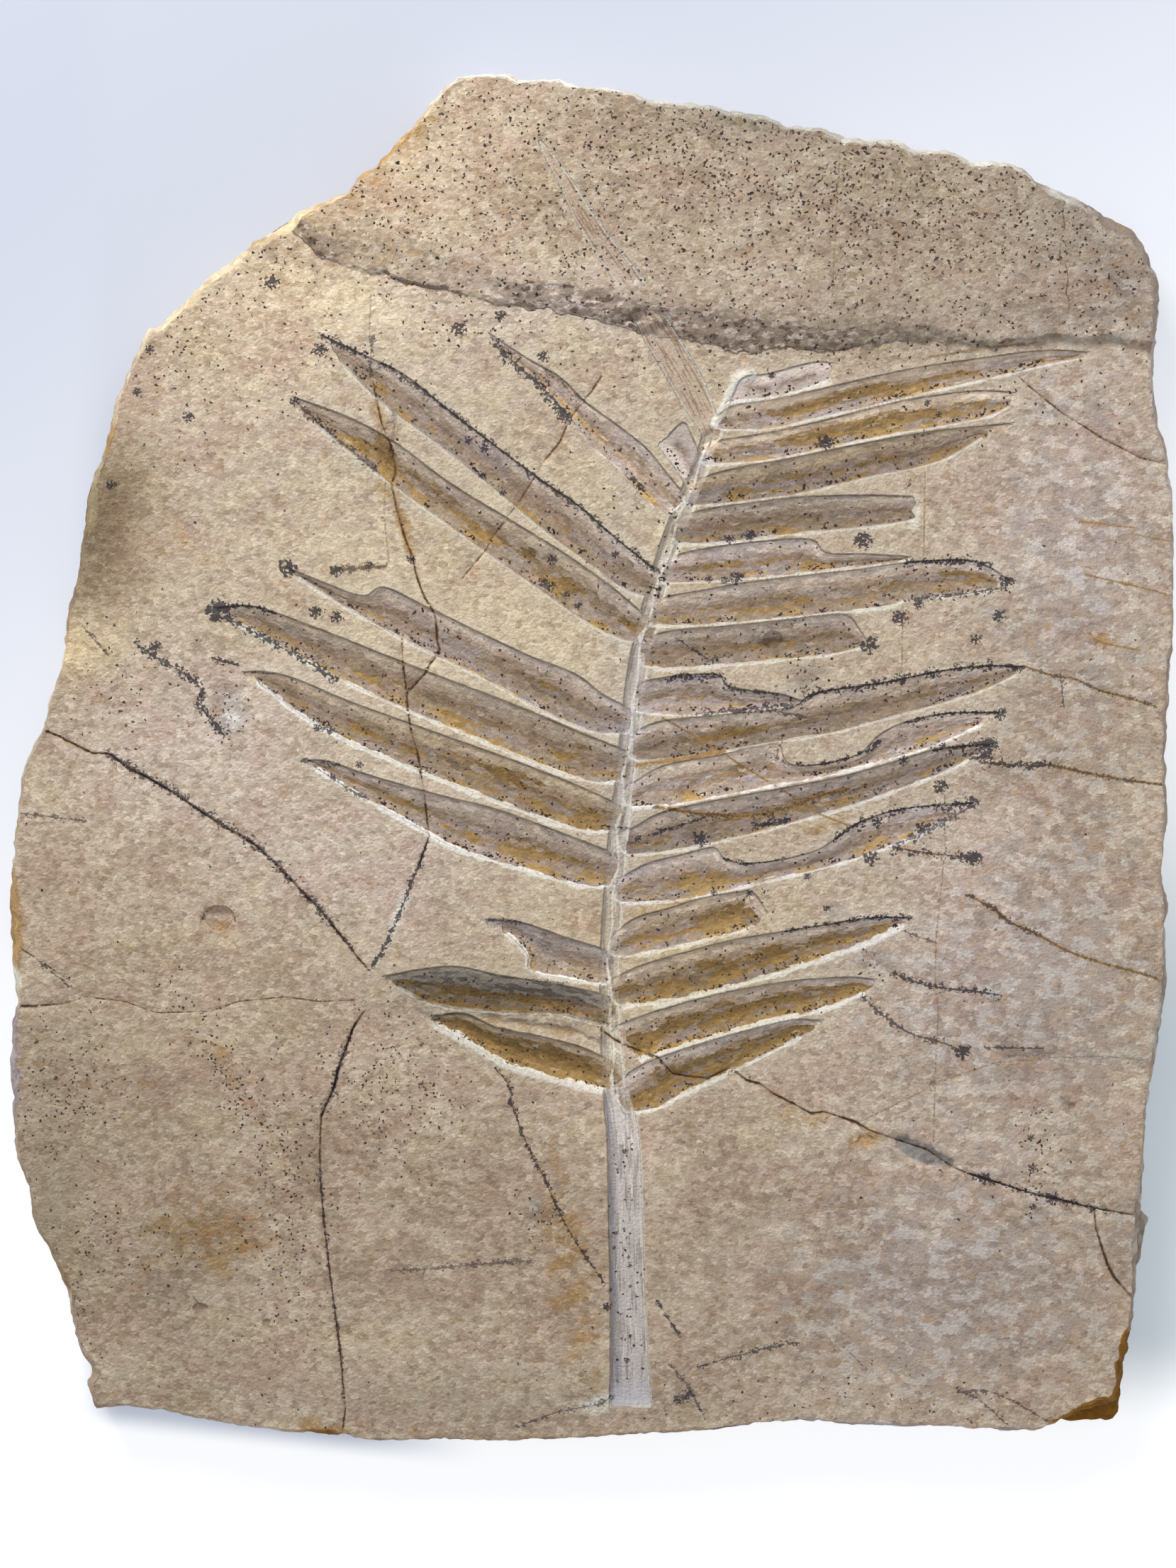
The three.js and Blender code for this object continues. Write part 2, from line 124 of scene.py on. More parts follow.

# Each leaflet's upper and lower edge from the stem out to the tip, how rusty it is, how much lighter
# and warmer its upper and then its lower half is, and how wide its white rim is.
# Each white rim is pale calcite with a painted highlight on the lower wall, which faces the light.
leaflets = [
    {"upper": [(40, 106), (45, 108.7), (60, 111), (78, 115.2), (100, 120), (120, 123), (140, 125.5),
               (154.5, 125)],
     "lower": [(40, 101), (55, 101.3), (70, 104.5), (85, 108), (100, 111.5), (120, 116), (140, 120.8),
               (151, 123)],
     "rusty": 0.4, "shift": (0.3, 0.5, 0.2, -1.5), "white": 0.6},
    {"upper": [(37, 97.3), (55, 100), (75, 104.5), (95, 109.5), (112, 112.3), (122, 113), (131.5, 112.4)],
     "lower": [(36, 90), (55, 91.6), (75, 95.8), (95, 99.8), (110, 102.3), (123, 105), (129.5, 108)],
     "rusty": 0.5, "shift": (0.6, 0.5, 0.1, -1.5), "white": 0.7},
    {"upper": [(31, 85.3), (45, 89), (65, 92.8), (85, 96.8), (105, 100.3), (131, 103)],
     "lower": [(32, 77.3), (45, 78.5), (65, 81.3), (85, 86), (103, 89.7), (112, 93), (121, 98.5)],
     "rusty": 0.5, "shift": (0, 1, -0.2, -1), "white": 0.6},
    {"upper": [(27, 74.5), (45, 77.8), (65, 80), (85, 80.6), (99.5, 80.2)],
     "lower": [(28, 65.5), (40, 65.8), (60, 68.3), (80, 70.2), (92, 71.5), (100, 73)],
     "rusty": 0.2, "shift": (0, 0, -0.2, 0), "white": 0.9},
    {"upper": [(24, 61.5), (35, 64), (50, 66), (62, 67), (69, 66.5), (73, 62.7), (85, 62.3), (99, 61.5)],
     "lower": [(23, 53.3), (40, 54), (60, 55.8), (80, 58), (92, 59.3), (98, 60.6)],
     "rusty": 0.35, "shift": (0.4, -0.5, 0.1, -0.5), "white": 0.8},
    {"upper": [(19.5, 48.5), (30, 50.3), (45, 53), (60, 55), (80, 57.3), (98, 59.8), (115, 60.5),
               (122, 59), (129.5, 54.2)],
     "lower": [(20, 40), (40, 40.6), (60, 42.5), (80, 44.6), (92, 46), (98, 48.2), (112, 49.5),
               (124, 51.4)],
     "rusty": 0.5, "shift": (0.2, 0, 0, 0), "white": 0.9},
    {"upper": [(16.5, 36.5), (25, 38.5), (40, 40), (60, 42), (75, 43.8), (80, 43), (83, 39),
               (85.5, 35.5)],
     "lower": [(19, 27.2), (25, 26.7), (40, 27.8), (60, 29.7), (75, 31.3), (84, 33.5)],
     "rusty": 0.2, "shift": (0, 0, -0.1, 0), "white": 1.0},
    {"upper": [(16.5, 23), (28, 24.7), (39, 24.9), (42, 21.5), (50, 19.8), (58, 19), (65, 16.8)],
     "lower": [(16, 13), (28, 12.3), (40, 13), (55, 14), (63, 15.5)],
     "rusty": 0.2, "shift": (0, -0.5, 0.4, -1), "white": 0.6},
    {"upper": [(14.5, 8), (22, 10.5), (35, 12), (50, 13.4), (62, 14.8), (71, 19.5), (90, 22.3), (108, 26),
               (122, 27.6), (134.5, 27.4)],
     "lower": [(16.5, -1.8), (30, -0.8), (42, 1.3), (60, 4.5), (75, 7), (90, 11), (105, 15), (120, 19.5),
               (131, 24.5)],
     "rusty": 0.3, "shift": (0.2, 0, -0.2, 0), "white": 0.8},
    {"upper": [(14, -8), (22, -3.5), (38, -0.3), (50, 2.3), (58, 3.3), (59.5, -0.8), (63, -3.2),
               (72, -2.7), (83, 0.3), (89, 6), (97, 10), (110, 12.8), (127.5, 13.2)],
     "lower": [(15, -16.3), (25, -15.5), (40, -12.7), (57, -9.5), (75, -6), (90, -2), (105, 2.5),
               (120, 8.8)],
     "rusty": 0.3, "shift": (0.3, 0, 0.4, -1.5), "white": 0.9},
    {"upper": [(14, -22), (22, -17.8), (40, -13.9), (57, -10.8), (75, -7.3), (90, -3.3), (108, 1.9),
               (124.5, 3.3)],
     "lower": [(13, -30.8), (25, -29.8), (42, -26.3), (60, -21.7), (80, -16), (95, -10.7), (108, -5.8),
               (119, -0.4)],
     "rusty": 0.35, "shift": (0, 0, -0.2, -0.5), "white": 0.9},
    {"upper": [(10, -37.5), (18, -33.5), (30, -30.5), (38, -28.7), (41, -32), (48, -33.7), (60, -32.3),
               (70, -29.5), (76, -25.8), (83, -21), (95, -17), (110, -15.4), (118.5, -15)],
     "lower": [(11.5, -46), (25, -45.3), (40, -42.5), (60, -38), (80, -32.8), (95, -27.5), (110, -20.5)],
     "rusty": 0.5, "shift": (0.3, -0.5, 0.2, -2), "white": 0.9},
    {"upper": [(7.5, -54.8), (14, -50.5), (25, -47.3), (35, -44.2), (45, -42.6), (50, -42.6),
               (54.5, -49)],
     "lower": [(10, -62.6), (20, -61), (35, -57.6), (48, -54.2)],
     "rusty": 0.6, "shift": (0.1, 0, 0.1, -1), "white": 1.0},
    {"upper": [(7.5, -69), (15, -65.5), (30, -61), (45, -57.2), (65, -54), (85, -50.7), (99, -50.5)],
     "lower": [(11, -77.8), (25, -76.2), (45, -71.4), (65, -65.3), (85, -58.5), (95.5, -53.4)],
     "rusty": 1.1, "shift": (0.1, 0, -0.2, 0), "white": 1.7},
    {"upper": [(9, -83.5), (20, -79.5), (40, -74), (60, -70.5), (78, -69), (88.5, -69.7)],
     "lower": [(18, -93.5), (30, -89.8), (50, -84), (70, -79.5), (84, -74)],
     "rusty": 1.3, "shift": (0, 0, -0.1, 0), "white": 1.5},
    {"upper": [(9, -101), (15, -96.5), (30, -90.8), (50, -85), (62, -82.3), (72, -82.4)],
     "lower": [(12, -111), (20, -109.8), (28, -105.5), (40, -99.7), (50, -95), (65, -87.5)],
     "rusty": 1.3, "shift": (0.1, -0.5, -0.2, 0), "white": 1.3},
    {"upper": [(28.5, 81), (24, 86.5), (17, 95), (8, 102.3), (-2, 109.5), (-10, 117.3), (-20, 123),
               (-32, 131)],
     "lower": [(22, 75.5), (15, 80.5), (9, 88.5), (1, 95), (-7, 104.8), (-15, 113.3), (-27, 124.5)],
     "depth": 1.0, "rusty": 0.3, "shift": (0.1, 0, 0.6, -0.5), "white": 0.35},
    {"upper": [(18.5, 58.5), (8, 66.8), (-5, 78), (-17, 86.2), (-30, 96), (-45, 107.5), (-58, 117.8),
               (-70, 123.7), (-84, 130.3)],
     "lower": [(19, 48.5), (10, 51.5), (-3, 61), (-14, 69), (-30, 82.3), (-50, 98), (-66, 110),
               (-78, 122)],
     "rusty": 0.25, "white": 0.6},
    {"upper": [(17.5, 42.5), (5, 53), (-10, 63.5), (-26, 73.3), (-45, 85), (-60, 96.3), (-75, 104.5),
               (-93, 111.2)],
     "lower": [(16, 34.8), (8, 36.2), (-3, 42), (-18, 52.5), (-38, 66.6), (-58, 81), (-72, 91.5),
               (-87, 103.5)],
     "rusty": 0.6, "shift": (-0.1, 0.5, 0.1, 0), "white": 0.6},
    {"upper": [(11, 14.8), (3, 19), (-5, 25), (-20, 31), (-40, 40.5), (-52, 46.3), (-64.5, 52),
               (-71, 49.3), (-82, 53), (-95.5, 58.5)],
     "lower": [(9.5, 6.6), (0, 7.3), (-15, 13.5), (-35, 24.5), (-55, 34), (-75, 45), (-91, 55)],
     "rusty": 0.35, "shift": (0, 0, 0, -0.5), "white": 0.8},
    {"upper": [(9, 2), (-5, 7.5), (-25, 16), (-50, 25.4), (-75, 35.3), (-95, 43), (-106, 46.2),
               (-117, 45.7)],
     "lower": [(8.5, -8.3), (0, -8.3), (-15, -3.5), (-40, 7), (-65, 17.3), (-90, 30), (-110, 41)],
     "rusty": 0.5, "shift": (-0.2, 0.5, 0, 0), "white": 1.0},
    {"upper": [(8.5, -15.5), (-5, -9.3), (-25, -1.5), (-50, 7.5), (-75, 16.5), (-92, 23.6), (-101, 25.8),
               (-108.5, 25.7)],
     "lower": [(8, -23.5), (-3, -23.4), (-20, -18), (-45, -8.3), (-70, 1.8), (-88, 11), (-103, 22)],
     "rusty": 0.65, "shift": (-0.1, 1, -0.1, 0), "white": 1.4},
    {"upper": [(7, -30.5), (-10, -24), (-30, -16.8), (-50, -11.8), (-70, -6), (-82, -2), (-89, -1.6)],
     "lower": [(4.5, -41), (-5, -40.3), (-25, -34.5), (-42, -29), (-55, -22), (-70, -13.5), (-85, -4.5)],
     "rusty": 0.65, "shift": (-0.1, 0, 0.1, -0.5), "white": 1.3},
    {"upper": [(4, -60.3), (-7, -57), (-20, -52.5), (-28, -51), (-33.5, -51.5)],
     "lower": [(3, -71.3), (-8, -69.5), (-19, -67), (-20, -62), (-26, -55.5)],
     "rusty": 0.1, "shift": (-0.2, -1, 0.3, -0.5), "white": 1.3},
    {"upper": [(4.5, -74.5), (-10, -71.3), (-28, -68.5), (-42, -65.7), (-54, -66.7), (-65, -68.8)],
     "lower": [(3, -84), (-10, -80.5), (-22, -80), (-37, -79.3), (-50, -77), (-60, -72)], "wide": 5.0,
     "rusty": 0.95, "shift": (-0.2, 1.5, -0.3, 0.5),      "white": 0.8},
    {"upper": [(6, -95), (-3, -90.8), (-17, -87), (-30, -84.3), (-40, -80.3), (-50.5, -81.3)],
     "lower": [(7, -103), (2, -104), (-12, -100.5), (-27, -96), (-38, -89.5), (-48, -84)], "depth": 2.3,
     "rusty": 1.5, "shift": (-0.3, 1.5, 0, 0),      "white": 2.6},
    {"upper": [(44, 112), (47, 117), (55, 118.3), (63, 120.5), (70, 122), (75, 121.6)],
     "lower": [(44, 109.5), (52, 110.3), (60, 111.8), (68, 114), (73.5, 116)],
     "depth": 0.6, "rusty": 0.1, "shift": (0.4, -0.5, 0, -0.5), "white": 1.1, "faint": True},
    {"upper": [(34, 92), (31, 99), (28.5, 103.3), (24, 99.5)],
     "lower": [(29, 84), (25, 90), (20.5, 95.7)], "depth": 0.6, "rusty": 0.0,
     "shift": (-0.1, -0.5, 0.3, -0.5), "white": 0.4, "faint": True},
]

hollow = {
    "depth": 2.0,
    "upperWall": 0.5,  # width of the wall at the upper edge
    "lowerWall": 0.75,
    "reachIn": 2.6,  # how far each hollow runs into the stem
    "floor": [(0, 0.28), (0.14, 0.38), (0.3, 0.64), (0.44, 0.93), (0.54, 1.0), (0.68, 0.9), (0.86, 0.6),
              (1, 0.42)],
    "taper": [(0, 0.5), (0.07, 0.62), (0.2, 0.95), (0.32, 1.0), (0.65, 1.0), (0.85, 0.8), (1, 0.45)],
    "lip": 0.08,  # how far the ridges between hollows stand proud
    "lipWidth": 1.0,
}

# Middle line and half width of the stem, and of its tip that bends over the scarp.
stem = {
    "line": [(12, -202, 6.5), (11.5, -185, 5.8), (11, -165, 5.4), (10.7, -150, 5.3), (10.3, -135, 5.2),
             (9.8, -120, 5), (8.5, -110, 4.5), (6.5, -98, 3.5), (6, -85, 3), (5.5, -70, 3), (6, -55, 3),
             (7, -40, 3), (8, -28, 3), (9.5, -15, 3), (11, -2, 3), (12.5, 12, 3), (14, 25, 3),
             (16.5, 37, 3), (19, 47, 3), (22, 58, 3), (26, 70, 3), (30, 80, 3), (34, 90, 2.6),
             (37, 99, 2.6)],
    "tip": [(37.5, 100, 3), (31, 113, 4.8), (26, 122, 4.9), (20, 132, 4.8), (15, 141, 4.2),
            (10, 149, 3.8), (4, 157, 3.5), (-2, 166, 3), (-8, 177, 2.2), (-13, 185, 1.4),
            (-16, 190, 0.6)],
    "twig": [(38, 103), (41, 108), (43, 113), (46, 117), (50, 118.5)],
    "depth": 1.0,
    "tipDepth": 0.6,
    "wall": 0.6,
    "squareEnd": -202.3,  # the stem is cut off straight here
    "ridgeFrom": -104,  # above this a thin ridge runs up its middle
    "seamHeight": 0.34,
    "seamWidth": 0.42,
    "buried": (137.0, 146.0),  # crumbled stone covers the tip between these
}

cracks = {
    "lines": [
        [(-174, 9.5), (-165, 5.5), (-160, 3), (-155, 0.5), (-150, 0.5), (-144, -4), (-138, -7),
         (-132, -10.5), (-126, -14.5), (-120, -18.5), (-114, -22.5), (-106, -27), (-101, -31), (-97, -35),
         (-89, -43.5), (-85, -47.5), (-80, -53.5), (-77, -57.5), (-73, -62.5), (-69, -67)],
        [(-53.5, -34), (-50.5, -25), (-51.5, -18), (-52, -12), (-54, 0), (-56, 7), (-57, 13), (-58.5, 27),
         (-59, 36)],
        [(-57, 19.5), (-54, 23), (-52, 25), (-50, 28.5), (-47, 32), (-48, 35), (-48.5, 43), (-50, 46),
         (-52, 49), (-54.5, 56), (-55.5, 61), (-57.5, 66), (-60.5, 76), (-62, 84), (-61, 88), (-62.5, 97),
         (-65, 102), (-66.5, 109), (-67.7, 115)],
        [(3, 117.5), (0, 113), (-3, 109.5), (-7, 104), (-10, 97), (-15, 91), (-18, 86), (-23, 78),
         (-26, 74), (-31, 67.5), (-33, 63.5), (-40, 55)],
        [(-71, -80), (-74, -84.5), (-76, -90), (-78.5, -97), (-80, -103), (-84, -112)],
        [(-84, -112), (-84.5, -125), (-84, -135), (-83, -147), (-81, -163), (-80, -171), (-78, -186),
         (-76.5, -203), (-77.5, -211)],
        [(-178, -78), (-165, -77.5), (-157, -75), (-145, -76.5), (-135, -80), (-118, -79.5),
         (-110, -76.5), (-95, -75), (-85, -76.5), (-73, -76)],
        [(2, -84.5), (7, -88.5), (16, -92.5), (20, -93.5), (25, -99), (30, -100), (36, -100.5), (43, -97),
         (48, -101), (52, -102), (56, -105), (62, -108), (68, -111.3), (72, -110.7), (82, -114),
         (86, -116.5), (95, -119.5), (104, -122.5), (112, -128), (117, -130), (130, -134), (137, -136.5),
         (145, -138), (153, -140), (162, -141.7), (170.3, -143.3)],
        [(156, -141.5), (156.5, -147), (160, -158), (162, -162), (168.5, -169.5)],
        [(131, 119), (135, 115), (140, 111), (146, 106), (152, 102.5), (158, 98.5), (164, 95.5),
         (170, 92.3), (178, 90.3)],
        [(146.5, 172), (145.8, 168), (146.5, 163.5), (145, 158), (144.8, 152), (147, 151.5), (147.5, 147),
         (146.8, 143), (148, 139.5), (147.2, 136), (148, 131)],
        [(-179, -59), (-171, -64), (-162, -70)],
        [(-180, -78), (-172, -78), (-164, -77)],
        [(-121.4, -52), (-120.4, -49), (-117.5, -47), (-114, -46.8), (-111.5, -48.6), (-110.8, -51.5)]],
    # how open each one is
    "openings": [0.75, 0.6, 0.7, 0.35, 0.9, 0.45, 0.15, 0.75, 0.85, 0.5, 0.2, 0.25, 0.5, 0.3],
    "rusts": [0.2, 0.1, 0.5, 0.8, 0.1, 0.3, 0.4, 0.5, 0.6, 0.7, 0.9, 0.5, 0.3, 0.7],  # how rusty brown
    "halfWidth": 0.55,
    "depth": 0.9,
}

# Fine joints that show only as a thin line.
hairlines = [[(-67.7, 115), (-68.5, 120), (-69, 131), (-68.5, 143)],
    [(83, -114), (97, -107), (112, -100), (125, -95.5), (142, -94), (158, -93.5), (178, -95)],
    [(77, 190), (75, 155), (74.5, 141)], [(103, 105), (103.4, 85), (103, 62)],
    [(96.5, 47), (96, 10), (93, -8), (92, -25)],
    [(109.5, -7), (109.5, -30), (107, -55), (106.5, -70), (107.5, -80), (106.5, -100), (106, -120)],
    [(53, 52), (58, 47.5), (63, 43)], [(20, -43), (30, -47)], [(-64, 86), (-64.5, 74), (-63, 60)],
    [(-120.7, -50.5), (-119, -53.2), (-116.5, -54.6), (-113.2, -53.8), (-111.5, -51), (-111.9, -48),
     (-114.5, -46.6), (-118.2, -46.8), (-120.3, -48.6), (-120.7, -50.5)]]

# Lines that dendrites grew along: points, how far the bushes reach, how black, how rusty.
fringes = [
    ([(-150, 0), (-140, -5.5), (-126, -14), (-114, -22), (-106, -26.5), (-97, -34.5), (-89, -43),
      (-80, -53)], 2.0, 0.9, 0),
    ([(-74, -84.5), (-76, -90), (-78.5, -97), (-80, -103), (-83, -110)], 1.4, 0.9, 0),
    ([(-69, -67), (-66, -62), (-63, -57), (-60.5, -51), (-58, -45), (-54.5, -36)], 1.3, 1, 0),
    ([(134, 27.5), (142, 25), (150, 23.5), (158, 20), (167, 17.5), (175, 15)], 0.9, 0.8, 0.8),
    ([(145.5, 24), (146.5, 15)], 1.0, 0.8, 0), ([(122, -2.5), (135, -3.3), (142, -3)], 1.8, 1, 0.3),
    ([(142, -3), (153, -5.5), (166, -7.8), (178, -9.3)], 0.9, 0.8, 0.9),
    ([(92, -28.5), (103, -30.3), (109, -31), (119, -32)], 1.8, 1, 0.3),
    ([(117, -43.5), (125, -48), (129, -51.5), (139, -56)], 1.3, 0.9, 0.8),
    ([(139, -56), (148, -61), (160, -65), (172, -68.3), (178, -70.5)], 0.8, 0.6, 1.0),
    ([(93, -67.5), (104, -71.5), (116, -73), (127, -74.5)], 1.4, 1, 0),
    ([(84, -75), (90, -80.5), (98, -86), (108, -89), (117, -92.5)], 1.3, 0.9, 0.1),
    ([(122, -90.8), (140, -91)], 0.9, 0.9, 0), ([(95, -54), (107, -58.5)], 0.8, 0.8, 0),
    ([(-142, 35), (-135, 30), (-127, 25.5), (-121, 20), (-121, 15), (-114, 6)], 2.0, 1, 0),
    ([(-118, 30), (-110, 28)], 1.2, 1, 0), ([(-158, 40), (-150, 31)], 0.9, 0.8, 0),
    ([(-30, -97), (-25.5, -103), (-25, -108), (-22, -116), (-20, -121), (-14, -133), (-10, -142),
      (-5, -151), (4, -164)], 1.1, 1, 0.3),
    ([(-62, -160), (-50, -159.5), (-35, -158), (-19, -157)], 1.1, 0.7, 0),
    ([(20, -169), (27, -180)], 0.9, 1, 0),
    ([(33, -190), (43, -187), (57, -183.5), (65, -182.3)], 1.1, 0.9, 0),
    ([(24, -189), (30, -196), (35, -206)], 0.9, 0.8, 0),
    ([(114, -197.5), (120, -200), (129, -208)], 0.8, 0.8, 0),
    ([(115, -197.5), (124, -197.7), (136, -203.5), (142, -207.5)], 0.8, 0.8, 0),
    ([(-23, -208.5), (-11, -204), (2, -201.5), (6, -199)], 1.1, 0.8, 0),
    ([(78, -183.5), (84, -189.5)], 0.4, 0.6, 0), ([(-178, -18), (-157, -20.5)], 1.1, 0.8, 0),
    ([(20, -16), (32, -18), (48, -19), (60, -16.5), (70, -13), (80, -10.5)], 1.3, 0.7, 1.0),
    ([(22, 11.5), (30, 7), (40, 1), (47, -3.5), (57, -9.5), (64, -14), (70, -18), (80, -22)], 0.6, 0.35,
     0.9), ([(14, -3.2), (22, -2), (32, -0.6), (41, 1.1)], 1.4, 0.1, 1.0),
    ([(-173, -63), (-162, -72)], 0.8, 0.9, 0), ([(152, 72.5), (168, 70.5)], 0.6, 0.1, 0.8),
    ([(168, 68.5), (181, 66)], 0.6, 0.1, 0.8), ([(153, 56), (168, 52.5), (178, 50)], 0.6, 0.2, 0.8),
    ([(154, 38), (158, 35), (170, 32.5)], 0.6, 0.2, 0.8), ([(19, -24.5), (35, -19.5)], 1.0, 1, 0),
    ([(59, 4), (57.5, 0), (60, -3)], 1.0, 0.8, 0), ([(-79, 57.5), (-64, 58.5)], 1.6, 0.8, 0.5),
    ([(26, 36.5), (31, 33), (36, 30)], 0.7, 1, 0), ([(35, 30), (43, 30.8)], 0.8, 0.8, 0),
    ([(66, 12), (55, 14)], 1.0, 0.8, 0),
    # along the leaflets' edges
    ([(65, 17), (71, 19.5), (90, 22.3), (108, 26), (122, 27.6), (134, 27.4)], 1.7, 1, 0),
    ([(98, 59.8), (115, 60.5), (124, 58)], 1.6, 1, 0), ([(97, 48), (112, 49.5), (128, 52)], 1.5, 1, 0),
    ([(33, 12.8), (42, 13.6), (50, 14.6), (65, 15.8)], 1.6, 0.9, 0),
    ([(24, 24), (32, 24.3), (40, 24)], 1.4, 1, 0),
    ([(40, 24), (43, 20.8), (50, 19.8), (58, 19)], 1.2, 0.9, 0),
    ([(76, -25.8), (83, -21), (95, -17), (118, -15)], 1.4, 1, 0),
    ([(41, -32), (50, -33.7), (66, -31)], 0.8, 1, 0),
    ([(95, -27.5), (107, -22.2), (118, -15.5)], 1.8, 0.9, 0),
    ([(105, 1.5), (124.5, 3.5), (122, 0), (118, -1)], 1.9, 1, 0),
    ([(60, -54.8), (85, -50.7), (98, -50.5)], 1.1, 1, 0), ([(50, -22), (60, -20.5)], 1.3, 1, 0),
    ([(62, -3), (72, -2.7), (83, 0.3), (89, 4)], 0.9, 1, 0),
    ([(97, 10), (110, 12.8), (127, 13.2)], 0.9, 1, 0),
    ([(-66, 122), (-52, 113), (-45, 107.5), (-30, 96), (-17, 86.2), (-5, 78), (8, 66.8), (20, 57)], 1.4,
     0.9, 0), ([(97, 80.5), (99, 86)], 0.9, 0.9, 0), ([(-84, 130.3), (-72, 124.5)], 1.6, 0.9, 0),
    ([(-30, 127), (-24, 121.5), (-15, 113.3), (-7, 104.8)], 2.3, 1, 0),
    ([(-15, 120), (-9, 115), (-2, 109.5)], 0.9, 0.7, 0.3), ([(12, 86), (18, 80)], 1.6, 1, 0),
    ([(-90, 108), (-80, 99), (-66, 87.5)], 1.5, 0.8, 0),
    ([(-117, 45.7), (-106, 46.2), (-98, 43.8)], 1.4, 1, 0),
    ([(-114, 43), (-104, 37.5), (-93, 31.5), (-80, 24)], 1.6, 1, 0),
    ([(-86, -3.5), (-78, -9), (-70, -13.5)], 1.2, 0.9, 0), ([(-90, -1.6), (-78, -3.2)], 1.0, 0.9, 0),
    ([(-108, 25.7), (-98, 25.2)], 0.5, 0.9, 0), ([(-33, -51), (-22, -52)], 1.0, 0.8, 0),
    ([(-21, -69.5), (-8, -71)], 0.7, 0.7, 0),
    # along the cracks
    ([(-130, -12), (-120, -18.5), (-110, -24), (-97, -35), (-85, -47.5), (-74, -61)], 1.0, 0.95, 0),
    ([(-66, -62), (-60.5, -51), (-55.5, -39), (-51, -27)], 1.2, 1, 0),
    ([(-84.5, -125), (-84, -135), (-82, -155), (-80, -171), (-78, -186), (-77, -200)], 0.7, 0.9, 0),
    ([(117, -130), (130, -134), (145, -138), (160, -141.5)], 1.3, 1, 0),
    ([(-58, -45), (-60, -50)], 0.8, 0.9, 0), ([(-69, 118), (-68, 130)], 1.2, 0.8, 0),
    # at the foot of the step
    ([(60, 127), (75, 125.7), (88, 128)], 0.8, 0.55, 0.2),
    ([(103, 123), (120, 126), (138, 128)], 0.8, 0.5, 0.5)]

# Bushy dendrites: x, y, radius.
bushes = [
    (-116, 45.5, 3.8), (-94, 58.5, 3.2), (-79, 57.5, 2.2), (-85.5, 44.5, 2.2), (-79, 43, 2.2),
    (-135, 34, 1.9), (43, 67.3, 1.8), (49.5, 68.5, 2), (84.5, 67, 3), (45.5, 55.2, 2.3),
    (36.5, 54.8, 1.3), (41.5, 54.3, 1.5), (73, 97.5, 2.6), (86.5, 34.5, 3), (96, 43, 2.7),
    (101.5, 47, 1.7), (129, 54, 2.4), (126.5, 43.5, 2.2), (119.5, 36, 1.9), (34.5, -25.7, 2.7),
    (87, -31.5, 2.7), (103, -22.5, 2.2), (119, -31.5, 2.6), (127, 13, 2.2), (123, 3.5, 2.7),
    (121.5, -0.5, 2), (97, -1.5, 1.8), (89, -20.5, 2.1), (108.5, -9.5, 2.4), (118, -14.5, 2.4),
    (115.5, -92, 2.6), (30, -198.5, 2.1), (27, -200, 1.7), (5, -171, 1.5), (-12, 61, 1.8), (-15, 54, 1.6),
    (-13, 52.6, 1.7), (7.5, 62.5, 1.3), (-33, 95.5, 1.6), (-38, 98, 1.4), (-34, 87, 1.3),
    (-27.5, 81.7, 1.3), (-41, 132.5, 2.6), (-28, 136.5, 2), (-15, 124, 1.9), (-9, 105.5, 2),
    (-99, 147, 2.5), (-137, 126, 1.6), (-141, 113, 1.5), (-125, 105, 2), (-149, 84, 1.7),
    (104.5, 109.5, 1.2), (108, 106, 1.1), (56, 118, 1.2), (136.5, -118.5, 1.3), (137, -128, 1.5),
    (137, -140, 1.2), (143, -137.5, 2), (122, -131, 2), (-84, 126, 2.2), (-92, 110, 1.7), (-56, 61, 1.5),
    (-69, 59, 1.6), (-72, -3, 1.3), (-4, 46.5, 1.3), (-8, 50, 1.4), (-85, 8.5, 1.5), (-81, 7.5, 1.2),
    (14.5, -25.8, 1.2), (67, -37.6, 1.2), (38, -42.6, 1.1), (73, -47.5, 1.2), (49, -43, 1.3),
    (10.5, -123, 1.0), (10, -126.5, 0.5), (10, -147, 0.5), (7.5, -148.5, 0.8), (7, -153, 0.7),
    (11.5, -156, 0.6), (12, -158.5, 0.7), (12, -165, 0.6), (12, -172, 0.5), (12, -180.5, 0.7),
    (11, -188, 1.0), (5.5, -140, 0.5), (6, -166, 0.6)]

# Small hollows broken out of the face: x, y, half length, half width, depth.
pits = [(-116.2, -50.8, 5.4, 4.2, 1.6), (-121.5, -171.5, 2.6, 1.5, 0.8), (-101, -176, 1.6, 1.2, 0.7),
        (149, -109, 1.5, 1.3, 0.7), (112.5, -99.8, 2.6, 1.1, 0.6), (106, -102, 1.2, 0.9, 0.5),
        (56.3, 35.7, 3.2, 3.0, 1.5), (85, -119, 2.6, 1.3, 0.7), (-13, 61, 1.8, 1.3, 0.7),
        (75, 127, 1.6, 1.0, 0.6), (44, -99, 1.8, 1.2, 0.7)]

# Flat scars where a flake has come off: edge, depth, how grey.
scars = [
    ([(94, -118.5), (105, -122), (109.5, -123.5), (113, -128.5), (101, -126.5), (97, -124.5)], 0.9, 1.0),
    ([(-58, -75.5), (-40, -74.5), (-20, -76.5), (-8, -76), (6, -84), (-8, -88.5), (-30, -84), (-44, -81)],
     0.8, 0.1), ([(-66.8, 101), (-64.2, 86), (-60.8, 86.5), (-62.8, 102.5)], 1.1, -0.6),
    ([(122, -95), (130, -92), (140, -91), (157, -93), (179, -95.5), (179, -97), (157, -95.5),
      (140, -93.5)], 0.25, 0.3)]

